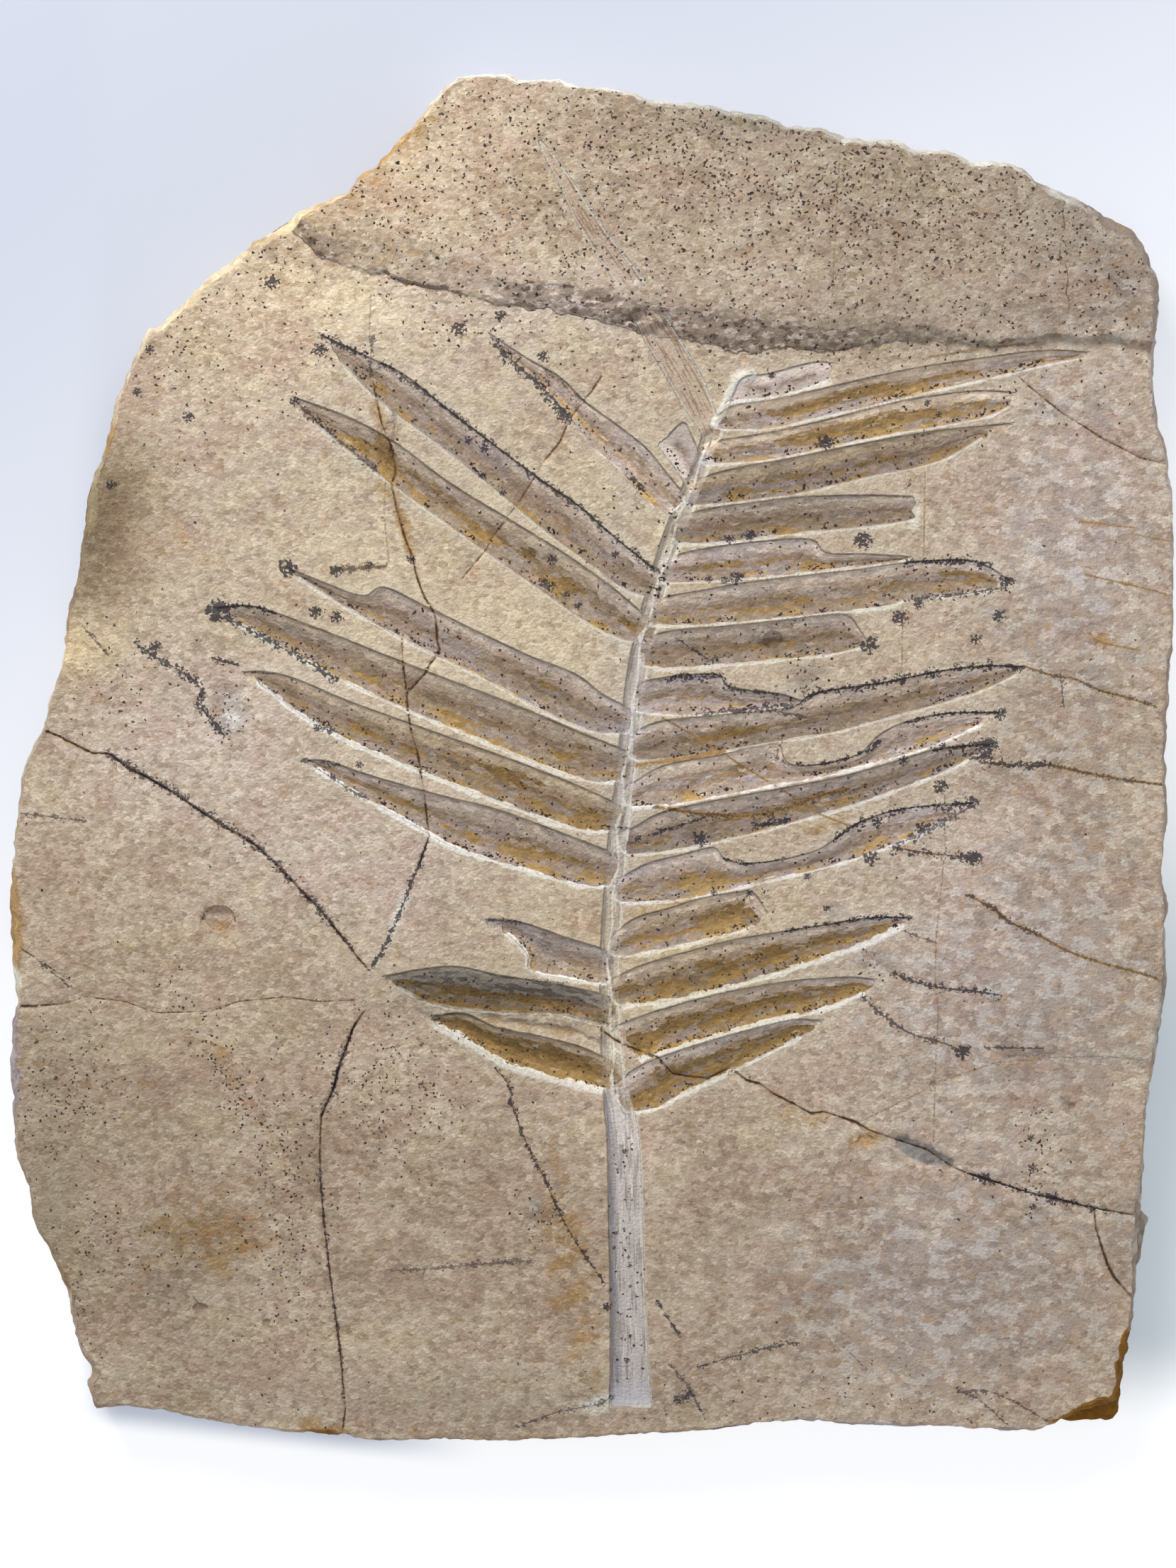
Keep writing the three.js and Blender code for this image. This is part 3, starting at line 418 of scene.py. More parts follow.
# Crumbled places off the step: x, y, reach in x, reach in y, turn, amount.
rubble = [(-22, -80, 24, 2.4, -10, 0.9), (-48, -79, 8, 2, -20, 0.9), (47, 117, 4, 2.5, 30, 0.5),
          (0, -86, 5, 1.5, -30, 0.8),
          (14, 136, 10, 3, -15, 0.9), (-63, 100, 1.6, 12, -6, 0.6)]

# Broad swells of the face: x, y, reach in x, reach in y, height.
swells = [(-145, 74, 16, 18, -0.9), (-157, 32, 12, 9, 1.0), (-120, 95, 18, 8, 0.45),
          (-118, 80, 16, 6, 0.35),
          (-100, 130, 20, 14, 0.4), (-70, 135, 14, 8, 0.35), (-60, 60, 20, 14, 0.3),
          (-140, -30, 25, 22, 0.4), (150, 60, 26, 30, 0.3), (150, -20, 24, 26, -0.3),
          (60, -150, 40, 30, 0.35), (-40, -150, 30, 30, -0.3), (-130, -130, 30, 26, -0.35),
          (-20, 175, 30, 16, 0.3), (90, 165, 34, 14, -0.25), (30, 185, 26, 10, 0.2)]

# Stains of each kind: x, y, reach in x, reach in y, turn in degrees, amount. A few of them are painted
# highlight or painted shade, each marked where it stands.
stains = {
    "gold": [(-22, -6, 16, 4, -20, 1.0), (-26, -28, 16, 2.2, -16, 0.8), (-42, 6.5, 14, 3, -22, 0.8),
             (-3, 3, 5, 2.5, -30, 1.0), (-13, 21.5, 8, 2, -25, 0.9), (48, 8, 12, 2.5, 6, 0.9),
             (48, -3.5, 5, 2.5, 0, 0.9), (33, -39.5, 8, 4, 15, 1.2), (42, -51, 10, 4, 18, 1.0),
             (12, -38, 4, 3, 20, 0.9), (80, 112, 34, 4, 9, 1.3), (82, 101.5, 34, 4.5, 9, 1.3),
             (-12, 60, 14, 5, -36, 0.4), (-45, 84, 14, 4, -36, 0.6), (110, 55, 14, 3, 4, 0.8),
             (-30, -92, 18, 3, -18, 0.4), (-36, -72, 14, 2.5, -8, 0.6), (-64.5, 98, 3, 15, 9, 2.2)],
    "ochre": [(-6, -160, 9, 42, 8, 0.55), (-118, -150, 22, 14, 0, 0.6), (-70, 190, 30, 18, 40, 0.5),
              (-125, 70, 10, 7, 0, 0.35), (-92, 100, 8, 6, 0, 0.3), (20, -47, 16, 5, 12, 0.8),
              (85, -119, 5, 3, 0, 0.9), (-115, -52.5, 4.2, 2.6, 0, 0.7), (-87, -209, 4, 3, 0, 1.2),
              (-78, -210, 2.5, 2, 0, 1.0), (-108, -106, 2.6, 34, 30, 0.4), (-130, -90, 20, 8, 0, 0.25),
              (-63.5, 90, 3.5, 10, -8, 0.9), (66, -113, 14, 5, -20, 0.4), (70, -20, 14, 6, 14, 0.45),
              (-180, -55, 4, 14, 0, 0.9), (155, -206, 14, 3, 0, 1.0), (175, -150, 3, 14, 0, 0.5),
              (25, -0.5, 10, 1.6, 6, 0.9), (34, 53, 12, 1.8, 4, 0.5), (-50, 150, 60, 8, -12, 0.2),
              (158, 36, 3, 2.5, 0, 0.9), (157, 72, 8, 1, 0, 0.5), (175, 68, 6, 1, 0, 0.5),
              (166, 53, 11, 1, -14, 0.5), (164, 34, 12, 1, -12, 0.5), (115, 52, 20, 6, 0, 0.2),
              (13.5, -178, 2, 9, 0, 0.5), (-30, -90, 20, 4, -14, 0.3), (110, 20, 12, 4, 10, 0.2),
              (-25, -81.5, 30, 3, -10, 0.8), (-64.5, 98, 2.6, 15, 9, 1.3), (-58, 70, 2, 14, 14, 0.7)],
    # the cream patch at -158, 32 is a painted highlight on the swelling there
    "cream": [(-113, -57, 6, 2, 0, 1.2), (-60, 60, 70, 60, -30, 0.6), (-158, 32, 14, 9, 0, 0.9),
              (-75, 140, 30, 8, -14, 0.6), (10, 30, 40, 90, 0, 0.5), (-20, 155, 70, 30, 0, 0.15),
              (-66, 196, 8, 12, -40, 0.4), (16, 133, 4, 4, 0, 1.4), (75, -45, 26, 8, 0, 0.35),
              (-22, -80, 26, 4, -10, 0.7)],
    "brown": [(56, 36, 3, 3, 0, 1.3), (-60, -140, 60, 50, 0, 0.5), (60, -150, 60, 45, 0, 0.45),
              (-135, -100, 26, 16, 0, 0.5), (30, 170, 90, 22, -8, 0.4), (-87, -125, 6, 14, 5, 0.7),
              # the brown patch at -148, 74 darkens the dip in the left edge as painted shade
              (-148, 74, 12, 16, 0, 0.7), (-130, -40, 40, 30, 0, 0.25), (-95, 95, 8, 5, 0, 0.4),
              (-103, 72, 4, 3, 0, 0.4), (164, -158, 7, 12, 0, 0.5), (-100, 158, 12, 5, -35, 0.5)],
    "white": [(-60.5, -51, 2.2, 14, -22, 0.4), (3, -201, 6, 3, 0, 0.7), (-4, -202, 8, 2, 0, 0.4),
              # the white patch at 100, 75 is a painted highlight on a leaflet's square end wall, which
              # faces the light
              (-112, 12, 5, 9, 12, 0.45), (100, 75, 1.6, 5, 0, 1.5), (46, 118, 3, 2, 30, 1.2)],
    "grey": [(150, 40, 30, 120, 0, 0.55), (130, -80, 50, 40, 0, 0.55), (110, -170, 55, 35, 0, 0.85),
             (165, 150, 10, 20, 25, 0.5), (-113, 15, 5, 7, 0, 1.5), (-17, -141, 3.5, 3, 0, 1.3),
             (65.5, 23, 4, 8, -30, 1.3), (50, -45, 2.5, 4.5, 0, 1.2), (75, -48.5, 4, 2, -10, 1.2),
             (86, -63, 6, 3, -30, 1.2), (12, -197, 6, 5, 0, 0.9), (165, -150, 8, 12, 0, 0.3),
             (12, 30, 40, 40, 0, 0.1), (40, -32, 8, 3, 0, 0.6)],
}

# Broad areas where the stone is lighter or darker, and warmer or greyer:
# x, y, reach in x, reach in y, how much lighter, how much warmer.
tones = [
    (-80, 188, 55, 36, 0.25, 0.5),  # gold shoulder, upper left
    (-100, 130, 40, 26, 0.15, 0.5),  # below the shoulder
    (105, 176, 80, 36, -0.2, 0.0),  # brown upper layer, right
    (-15, 140, 70, 12, 0.15, -0.5),  # pale band under the ledge
    (110, 136, 60, 10, -0.2, -0.2),  # shade under the thin end of the ledge
    # painted shade in the dip in the left edge
    (-157, 70, 20, 33, -0.5, 1.2),  # dark dip in the left edge
    # painted highlight on the swelling below the dip
    (-163, 32, 14, 10, 0.2, 0.5),  # bright swelling below the dip
    (-120, 5, 40, 30, 0.15, -0.8),  # pale stone beside the left leaflets
    (-70, -35, 35, 20, 0.1, -0.6),  # pale stone between the lowest left leaflets
    (-80, 110, 60, 40, 0.0, -0.4),  # greyer stone round the upper left leaflets
    (150, 75, 30, 50, 0.2, -1.2),  # grey right side
    (120, -60, 45, 50, 0.2, -1.0),  # grey stone right of the lower leaflets
    (105, -160, 45, 36, 0.2, -0.8),  # pale grey patches, lower right
    (0, -165, 240, 75, -0.1, 0.0),  # the lower third is browner
    (-145, -130, 40, 70, -0.15, 0.2),  # brown lower left
    (-168, -130, 14, 70, -0.25, 0.2),  # left edge
    (-126, -165, 20, 26, -0.15, 0.0),  # brown blemish, lower left
    (-40, -200, 90, 10, -0.2, 0.0),  # front edge
    (-40, -75, 34, 7, -0.25, 0.0),  # shade under the lowest left leaflet
    (10, -105, 16, 30, 0.2, 0.0),  # pale stone round the stalk
    (25, -62, 34, 26, 0.0, 0.9),  # gold round the lowest right leaflets
    (10, 10, 8, 75, 0.0, -0.9),  # grey stalk
    (-55, 20, 40, 45, 0.08, 0.0),  # paler hollows left of it
    (152, 166, 22, 18, -0.15, -0.3),  # dark upper right corner
    (60, 198, 45, 8, -0.35, 0.0)]  # back edge

# Where small black specks lie: x, y, reach in x, reach in y, turn, density.
speckles = [
    (65, 178, 95, 28, -8, 0.95), (50, 190, 60, 12, -5, 0.9), (10, 168, 150, 34, -8, 0.5),
    (105, 168, 22, 12, 0, 0.5), (-30, 195, 30, 14, -5, 0.45), (-125, 125, 24, 24, 0, 0.3),
    (-104, 118, 14, 20, 0, 0.2), (-109, -106, 5, 32, 30, 1.0), (-98, -128, 5, 14, 24, 0.9),
    (-95, -140, 14, 36, 0, 0.45), (-62, -105, 18, 20, 0, 0.55), (-164, -104, 14, 18, 0, 0.6),
    (-161, -180, 5, 18, 0, 0.8), (-150, -150, 20, 16, 0, 0.3), (-100, 153, 8, 8, 0, 0.7),
    (-114, 14, 6, 8, 0, 0.9), (65.5, 23, 5, 9, -30, 1.0), (50, -45, 4, 6, 0, 0.9),
    (-16, -141, 6, 6, 0, 0.7), (139, -128, 6, 14, 0, 0.6), (80, -200, 60, 10, 0, 0.15),
    (-150, 20, 14, 16, 0, 0.25), (11, -150, 3, 40, 0, 0.45), (86, -63, 6, 4, -20, 0.6),
    (-80, 125, 10, 8, 0, 0.5), (-40, 132, 12, 5, 0, 0.5), (10, 70, 20, 20, 0, 0.2),
    (150, 150, 26, 20, 0, 0.45)]


# Lines and distances

def evenPoints(points, step, closed=False):
    line = np.array(points, float)
    if closed:
        line = np.vstack([line, line[:1]])
    run = np.concatenate([[0], np.cumsum(np.hypot(*np.diff(line[:, :2], axis=0).T))])
    count = max(2, int(round(run[-1] / step)))
    at = np.linspace(0, run[-1], count + 1)
    if closed:
        at = at[:-1]
    return np.column_stack([np.interp(at, run, column) for column in line.T])


def smoothPoints(points, step):
    line = np.array(points, float)
    if len(line) < 3:
        return evenPoints(line, step)
    full = np.vstack([2 * line[0] - line[1], line, 2 * line[-1] - line[-2]])
    t = np.linspace(0, 1, 9)[:-1, None]
    parts = []
    for a, b, c, d in zip(full, full[1:], full[2:], full[3:]):
        bend, twist = 2 * a - 5 * b + 4 * c - d, 3 * b - 3 * c + d - a
        parts.append(0.5 * (2 * b + (c - a) * t + bend * t**2 + twist * t**3))
    return evenPoints(np.vstack(parts + [line[-1:]]), step)


def nearestOnLine(spots, line):
    gap = np.full(len(spots), 1e6)
    along = np.zeros(len(spots))
    side = np.ones(len(spots))
    run = 0.0
    for a, b in zip(line[:-1, :2], line[1:, :2]):
        ab = b - a
        length = max(np.hypot(*ab), 1e-9)
        t = np.clip((spots - a) @ ab / length**2, 0, 1)
        away = spots - a - t[:, None] * ab
        d = np.hypot(away[:, 0], away[:, 1])
        closer = d < gap
        gap[closer] = d[closer]
        along[closer] = run + t[closer] * length
        side[closer] = np.sign(ab[0] * away[closer, 1] - ab[1] * away[closer, 0])
        run += length
    return gap, along / run, side


def insideLoop(spots, loop):
    within = np.zeros(len(spots), bool)
    for a, b in zip(loop, np.roll(loop, -1, axis=0)):
        if a[1] == b[1]:
            continue
        crosses = (a[1] > spots[:, 1]) != (b[1] > spots[:, 1])
        at = (b[0] - a[0]) * (spots[:, 1] - a[1]) / (b[1] - a[1]) + a[0]
        within ^= crosses & (spots[:, 0] < at)
    return within


def nearBox(spots, line, margin):
    low = line[:, :2].min(0) - margin
    high = line[:, :2].max(0) + margin
    return np.nonzero(((spots > low) & (spots < high)).all(1))[0]


def ease(value, low=0.0, high=1.0):
    t = np.clip((value - low) / (high - low), 0, 1)
    return t * t * (3 - 2 * t)


def blob(spots, x, y, reachX, reachY, turn=0.0):
    c, s = math.cos(math.radians(turn)), math.sin(math.radians(turn))
    dx, dy = spots[:, 0] - x, spots[:, 1] - y
    return np.exp(-(((dx * c + dy * s) / reachX) ** 2 + ((dy * c - dx * s) / reachY) ** 2))


def roughness(spots, size, octaves=3, seed=0.0):
    places = (Vector((x / size, y / size, seed)) for x, y in spots)
    return np.array([noise.fractal(place, 0.9, 2.1, octaves) for place in places])


# The outline

outline = np.array(slab["outline"], float)
drawingMiddle = (outline.min(0) + outline.max(0)) / 2  # the frame's origin lies under this point


def edgeLoops():
    # The widest loop and the face's loop have the same number of points, so they can be joined.
    corner = np.array(slab["cornerFront"], float)
    start = int(np.argmin(np.hypot(*(outline - corner[0]).T)))
    end = int(np.argmin(np.hypot(*(outline - corner[-1]).T)))
    around = np.vstack([outline[end:], outline[:start + 1]])
    shared = evenPoints(around, slab["step"])[:-1]
    wideCorner = evenPoints(outline[start:end + 1], slab["step"])[:-1]
    faceCorner = evenPoints(corner, slab["step"])
    at = np.linspace(0, 1, len(wideCorner) + 1)[:-1]
    own = np.linspace(0, 1, len(faceCorner))
    faceCorner = np.column_stack([np.interp(at, own, column) for column in faceCorner.T])
    return np.vstack([shared, wideCorner]), np.vstack([shared, faceCorner])


def inward(loop):
    along = np.roll(loop, -3, axis=0) - np.roll(loop, 3, axis=0)
    along /= np.hypot(*along.T)[:, None]
    return np.column_stack([along[:, 1], -along[:, 0]])


wideLoop, faceLoop = edgeLoops()
chipping = roughness(wideLoop, 3.6, 4, 3.0)
faceChipping = roughness(faceLoop, 3.2, 4, 9.0)
rimWidth = np.full(len(faceLoop), slab["plainBevel"])
for x, y, reach, width, stain, amount in slab["rims"]:
    rimWidth += (width - slab["plainBevel"]) * blob(faceLoop, x, y, reach, reach)
rimWidth *= 1 + 0.45 * np.clip(faceChipping, -1, 1)
rimLoop = faceLoop + inward(faceLoop) * np.maximum(rimWidth, 0.4)[:, None]


def rimStain(kind):
    amounts = [amount * blob(faceLoop, x, y, reach, reach)
               for x, y, reach, width, stain, amount in slab["rims"] if stain == kind]
    return sum(amounts, np.zeros(len(faceLoop)))


print("outline:", len(wideLoop), "points")


# The face's relief

def runIn(line):
    # Lengthens a leaflet's edge at its base, so that the hollow opens into the stem.
    first, second = np.array(line[0], float), np.array(line[1], float)
    step = (first - second) / np.hypot(*(first - second))
    return [tuple(first + step * hollow["reachIn"])] + list(line)


for leaf in leaflets:
    leaf["upperLine"] = smoothPoints(runIn(leaf["upper"]), 1.4)
    leaf["lowerLine"] = smoothPoints(runIn(leaf["lower"]), 1.4)
    leaf["length"] = np.hypot(*np.diff(leaf["upperLine"], axis=0).T).sum()
stemLine = smoothPoints(stem["line"], 1.5)
tipLine = smoothPoints(stem["tip"], 1.5)
twigLine = smoothPoints(stem["twig"], 1.5)


def seamLines():
    # On the stem each leaflet's lower edge sweeps into the middle and on upwards, as a pale seam,
    # and its upper edge runs down into the middle as a dark one.
    def middle(y):
        sway = 0.5 * math.sin(y / 3.1) + 0.35 * math.sin(y / 7.7)
        return float(np.interp(y, stemLine[:, 1], stemLine[:, 0])) + sway

    pale = [[(middle(y), y) for y in np.arange(stem["ridgeFrom"], 100, 3.0)]]
    dark = []
    for leaf in leaflets:
        if leaf.get("faint"):
            continue
        (upperX, upperY), (lowerX, lowerY) = leaf["upper"][0], leaf["lower"][0]
        out = np.sign(leaf["upper"][-1][0] - upperX)
        join = middle(lowerY)
        pale.append([(lowerX, lowerY), (join + 0.5 * (lowerX - join), lowerY + 0.1),
                     (join + out * 0.5, lowerY + 1.8), (middle(lowerY + 5), lowerY + 5)])
        join = middle(upperY)
        dark.append([(upperX, upperY), (join + 0.5 * (upperX - join), upperY - 0.8),
                     (middle(upperY - 2.6), upperY - 2.6)])
    return [smoothPoints(line, 0.8) for line in pale], [smoothPoints(line, 0.8) for line in dark]


paleSeams, darkSeams = seamLines()
crackLines = [evenPoints(line, 1.4) for line in cracks["lines"]]
hairLines = [evenPoints(line, 2.0) for line in hairlines]
fringeLines = [smoothPoints(line, 1.3) for line, reach, black, rust in fringes]


def scarpRise(spots, fields):
    line = np.array(scarp["line"], float)
    foot = np.interp(spots[:, 0], line[:, 0], line[:, 1])
    crest = np.interp(spots[:, 0], line[:, 0], line[:, 2])
    above = spots[:, 1] + 1.4 * roughness(spots, 6.0, 4, 20.0) - foot
    share = above / (crest - foot)
    column = np.array(scarp["broken"], float).T
    crumbled, dark, crevice = (np.interp(spots[:, 0], column[0], column[k]) for k in (1, 2, 3))
    fields["lift"] = slab["upperRise"] * (0.4 * ease(above, -0.3, 1.1) + 0.6 * ease(share, 0.12, 1.0))
    fields["slope"] = ease(share, -0.1, 0.05) * (1 - ease(share, 0.85, 1.15))
    fields["crumbled"] = crumbled * ease(above, -1.2, 0.3) * (1 - ease(share, 0.5, 0.9))
    # painted shade for the step's slope, and below for the crevice at its foot, which is also sunk into
    # the face
    fields["slopeDark"] = dark * ease(share, -0.05, 0.15) * (1 - ease(share, 0.8, 1.1))
    fields["slopeDark"] *= 0.6 + 0.4 * ease(share, 0.3, 0.7)
    fields["crevice"] = crevice * np.exp(-((above - 0.3) / 0.8) ** 2)


def facets(spots, size, seed):
    # Small flat steps: every spot takes a height from the cell that it lies in.
    heights = []
    for x, y in spots:
        _, corners = noise.voronoi(Vector((x / size * 0.7, y / size, seed)))
        heights.append(noise.noise(corners[0] * 7.3))
    return np.array(heights)


def crumble(spots, amount):
    size = scarp["crumbSize"]
    height = 0.6 * facets(spots, size, 3.0) + 0.4 * facets(spots, size * 0.5, 8.0)
    return scarp["crumbHeight"] * amount * height


def leafletFields(spots, z, fields):
    for number, leaf in enumerate(leaflets):
        loop = np.vstack([leaf["upperLine"], leaf["lowerLine"][::-1]])
        near = nearBox(spots, loop, 8)
        own = spots[near]
        within = insideLoop(own, loop)
        upper, along, _ = nearestOnLine(own, leaf["upperLine"])
        lower, _, _ = nearestOnLine(own, leaf["lowerLine"])
        base, _, _ = nearestOnLine(own, np.array([leaf["upperLine"][0], leaf["lowerLine"][0]]))
        tip, _, _ = nearestOnLine(own, np.array([leaf["upperLine"][-1], leaf["lowerLine"][-1]]))
        across = upper / np.maximum(upper + lower, 1e-6)
        floor = np.interp(across, *np.array(hollow["floor"]).T)
        taper = np.interp(along, *np.array(hollow["taper"]).T)
        upperWall = leaf.get("wide", hollow["upperWall"])
        lowerWall = max(hollow["lowerWall"], 0.9 * leaf["white"])
        walls = np.minimum(ease(upper, 0, upperWall), ease(lower, 0, lowerWall))
        walls *= ease(base, -0.4, 0.6) * ease(tip, -0.2, 1.2)
        drop = leaf.get("depth", hollow["depth"]) * taper * floor * walls
        edge = np.minimum(upper, lower)
        share = 0.3 if leaf.get("faint") else 1.0
        lip = hollow["lip"] * share * np.exp(-(edge / hollow["lipWidth"]) ** 2) * ease(base, 0, 6)
        z[near] += np.where(within, -drop, np.where(lip > 0.02, lip, 0))
        closer = lower < fields["lowerGap"][near]
        fields["lowerGap"][near[closer]] = lower[closer]
        fields["white"][near[closer & (lower < 4)]] = leaf["white"]
        fields["upperGap"][near] = np.minimum(fields["upperGap"][near], upper)
        inner = near[within]
        fields["across"][inner] = across[within]
        fields["along"][inner] = along[within] * leaf["length"] + number * 150
        fields["leafEdge"][inner] = edge[within]
        fields["rusty"][inner] = leaf["rusty"]
        light, warm, lowLight, lowWarm = leaf.get("shift", (0, 0, 0, 0))
        low = ease(across[within], 0.35, 0.6)
        fields["tone"][inner] += light + (lowLight - light) * low
        fields["warmth"][inner] += warm + (lowWarm - warm) * low
        fields["banded"][inner] = 1.0 if "wide" in leaf else 0.0
        fields["faint"][near[edge < 3]] = 1.0 if leaf.get("faint") else 0.0
        beside = ~within & (edge < 8) & (-edge > fields["leafEdge"][near])
        outer = near[beside]
        fields["leafEdge"][outer] = -edge[beside]
        fields["across"][outer] = across[beside]
        fields["along"][outer] = along[beside] * leaf["length"] + number * 150
        fields["rusty"][outer] = leaf["rusty"]


def stemFields(spots, z, fields):
    for line, depth in ((stemLine, stem["depth"]), (tipLine, stem["tipDepth"])):
        near = nearBox(spots, line, 9)
        gap, along, side = nearestOnLine(spots[near], line)
        half = np.interp(along, np.linspace(0, 1, len(line)), line[:, 2])
        inner = half - gap
        y = spots[near, 1]
        if line is stemLine:
            inner = np.minimum(inner, y - stem["squareEnd"])
        else:
            low, high = stem["buried"]
            inner = inner - 7 * ease(y, low, low + 2) * (1 - ease(y, high - 2, high + 1))
        drop = depth * ease(inner, 0, stem["wall"])
        drop *= ease(along, -0.001, 0.004) if line is stemLine else ease(along, -0.01, 0.05)
        already = slab["leafFace"] + fields["lift"][near] - z[near]
        z[near] -= np.maximum(drop - np.maximum(already, 0), 0) * (inner > 0)
        z[near] += 0.15 * np.exp(-(inner / 0.9) ** 2) * (inner < 0)
        better = inner > fields["stemGap"][near]
        pick = near[better]
        fields["stemGap"][pick] = inner[better]
        fields["stemAcross"][pick] = (gap * side)[better]
        fields["stemAlong"][pick] = along[better] * len(line) * 1.5
        fields["stemTip"][pick] = 0.0 if line is stemLine else 1.0
    for name, lines, height in (("seamGap", paleSeams, stem["seamHeight"]),
                                ("shadeGap", darkSeams, -0.25)):
        for line in lines:
            near = nearBox(spots, line, 4)
            gap, _, _ = nearestOnLine(spots[near], line)
            fields[name][near] = np.minimum(fields[name][near], gap)
        swelling = np.exp(-(fields[name] / stem["seamWidth"]) ** 2)
        z += height * swelling * ease(fields["stemGap"], -1.5, 0.0)


def brokenFields(spots, z, fields):
    for line, opening, rust in zip(crackLines, cracks["openings"], cracks["rusts"]):
        near = nearBox(spots, line, 6)
        gap, along, _ = nearestOnLine(spots[near], line)
        half = cracks["halfWidth"] * (0.6 + 0.4 * opening)
        z[near] -= cracks["depth"] * opening * (1 - ease(gap, 0, half))
        gap = gap / (0.3 + 0.7 * opening)
        fields["crackRust"][near[gap < fields["crackGap"][near]]] = rust
        fields["crackGap"][near] = np.minimum(fields["crackGap"][near], gap)
    for line in hairLines:
        near = nearBox(spots, line, 4)
        gap, along, _ = nearestOnLine(spots[near], line)
        fields["hairGap"][near] = np.minimum(fields["hairGap"][near], gap)
    for x, y, reachX, reachY, turn, amount in rubble:
        fields["crumbled"] += amount * blob(spots, x, y, reachX, reachY, turn)
    gap, _, _ = nearestOnLine(spots, twigLine)
    z += 0.6 * np.exp(-(gap / 1.1) ** 2)
    fields["twigGap"][:] = np.minimum(gap, 9)
    for x, y, halfLength, halfWidth, depth in pits:
        away = np.hypot((spots[:, 0] - x) / halfLength, (spots[:, 1] - y) / halfWidth)
        z -= depth * (1 - ease(away, 0.86, 1.0))
        fields["brownStain"] += (0.2 if depth > 1 else 1.0) * (1 - ease(away, 0.6, 1.0))
    for edge, depth, grey in scars:
        loop = evenPoints(edge, 2.0, closed=True)
        near = nearBox(spots, loop, 4)
        gap, _, _ = nearestOnLine(spots[near], np.vstack([loop, loop[:1]]))
        inner = np.where(insideLoop(spots[near], loop), gap, -gap)
        z[near] -= depth * ease(inner, -0.3, 0.5)
        fields["relief"][near] += 1.2 * ease(inner, 0, 1)
        fields["slateStain"][near] += max(grey, 0) * 1.2 * ease(inner, -0.2, 0.6)
        fields["ochreStain"][near] += max(-grey, 0) * ease(inner, -0.2, 0.6)


def colourFields(spots, fields):
    for kind, patches in stains.items():
        name = "rusty" if kind == "gold" else kind + "Stain"
        for x, y, reachX, reachY, turn, amount in patches:
            fields[name] += amount * blob(spots, x, y, reachX, reachY, turn)
    for x, y, reachX, reachY, change, warmer in tones:
        fields["tone"] += change * blob(spots, x, y, reachX, reachY)
        fields["warmth"] += warmer * blob(spots, x, y, reachX, reachY)
    for x, y, reachX, reachY, turn, density in speckles:
        fields["specks"] = np.maximum(fields["specks"], density * blob(spots, x, y, reachX, reachY, turn))
    for line, (_, reach, black, rust) in zip(fringeLines, fringes):
        near = nearBox(spots, line, 6)
        gap, _, _ = nearestOnLine(spots[near], line)
        gap = gap / reach
        closer = gap < fields["fringeGap"][near]
        pick = near[closer]
        fields["fringeGap"][pick] = gap[closer]
        fields["fringeBlack"][pick] = black
        fields["fringeRust"][pick] = rust
    for number, (x, y, radius) in enumerate(bushes):
        dx, dy = (spots[:, 0] - x) / radius, (spots[:, 1] - y) / radius
        near = np.hypot(dx, dy) < np.hypot(*fields["bush"][:, :2].T)
        fields["bush"][near] = np.column_stack([dx, dy, np.full(len(dx), (number * 0.618) % 1)])[near]
    fields["bushGap"][:] = np.minimum(np.hypot(*fields["bush"][:, :2].T), 4)
    fields["bush"][:, :2] = np.clip(fields["bush"][:, :2], -4, 4)


stainKinds = ("ochre", "grey", "brown", "cream", "white", "amber", "lilac", "slate")
fieldStarts = {
    "upperGap": 9, "lowerGap": 9, "across": 0, "along": 0, "leafEdge": -8, "rusty": 0, "banded": 0,
    "faint": 0, "white": 0.8, "seamGap": 9, "shadeGap": 9, "stemGap": -8, "stemAcross": 0,
    "stemAlong": 0, "stemTip": 0, "crackGap": 8, "crackRust": 0, "hairGap": 8, "twigGap": 9,
    "relief": 1, "slope": 0, "slopeDark": 0, "crevice": 0, "crumbled": 0, "specks": 0.004, "tone": 1,
    "warmth": 0, "fringeGap": 6, "fringeBlack": 0, "fringeRust": 0, "bushGap": 4, "lift": 0}
fieldStarts.update({kind + "Stain": 0 for kind in stainKinds})


def faceRelief(spots):
    fields = {name: np.full(len(spots), float(start)) for name, start in fieldStarts.items()}
    fields["bush"] = np.full((len(spots), 3), 9.0)
    scarpRise(spots, fields)
    z = slab["leafFace"] + fields["lift"]
    leafletFields(spots, z, fields)
    stemFields(spots, z, fields)
    brokenFields(spots, z, fields)
    for x, y, reachX, reachY, height in swells:
        z += height * blob(spots, x, y, reachX, reachY)
    near = np.nonzero(fields["crumbled"] > 0.02)[0]
    z[near] += crumble(spots[near], fields["crumbled"][near])
    z -= 0.5 * fields["crevice"]
    colourFields(spots, fields)
    inHollow = ease(fields["leafEdge"], -0.6, 0.6)
    inStem = ease(fields["stemGap"], -0.5, 0.5)
    fields["relief"] *= (1 - 0.7 * inHollow) * (1 - 0.75 * inStem)
    fields["relief"] += 1.5 * fields["crumbled"] + 0.4 * fields["slope"]
    return z, fields


# Points for the face

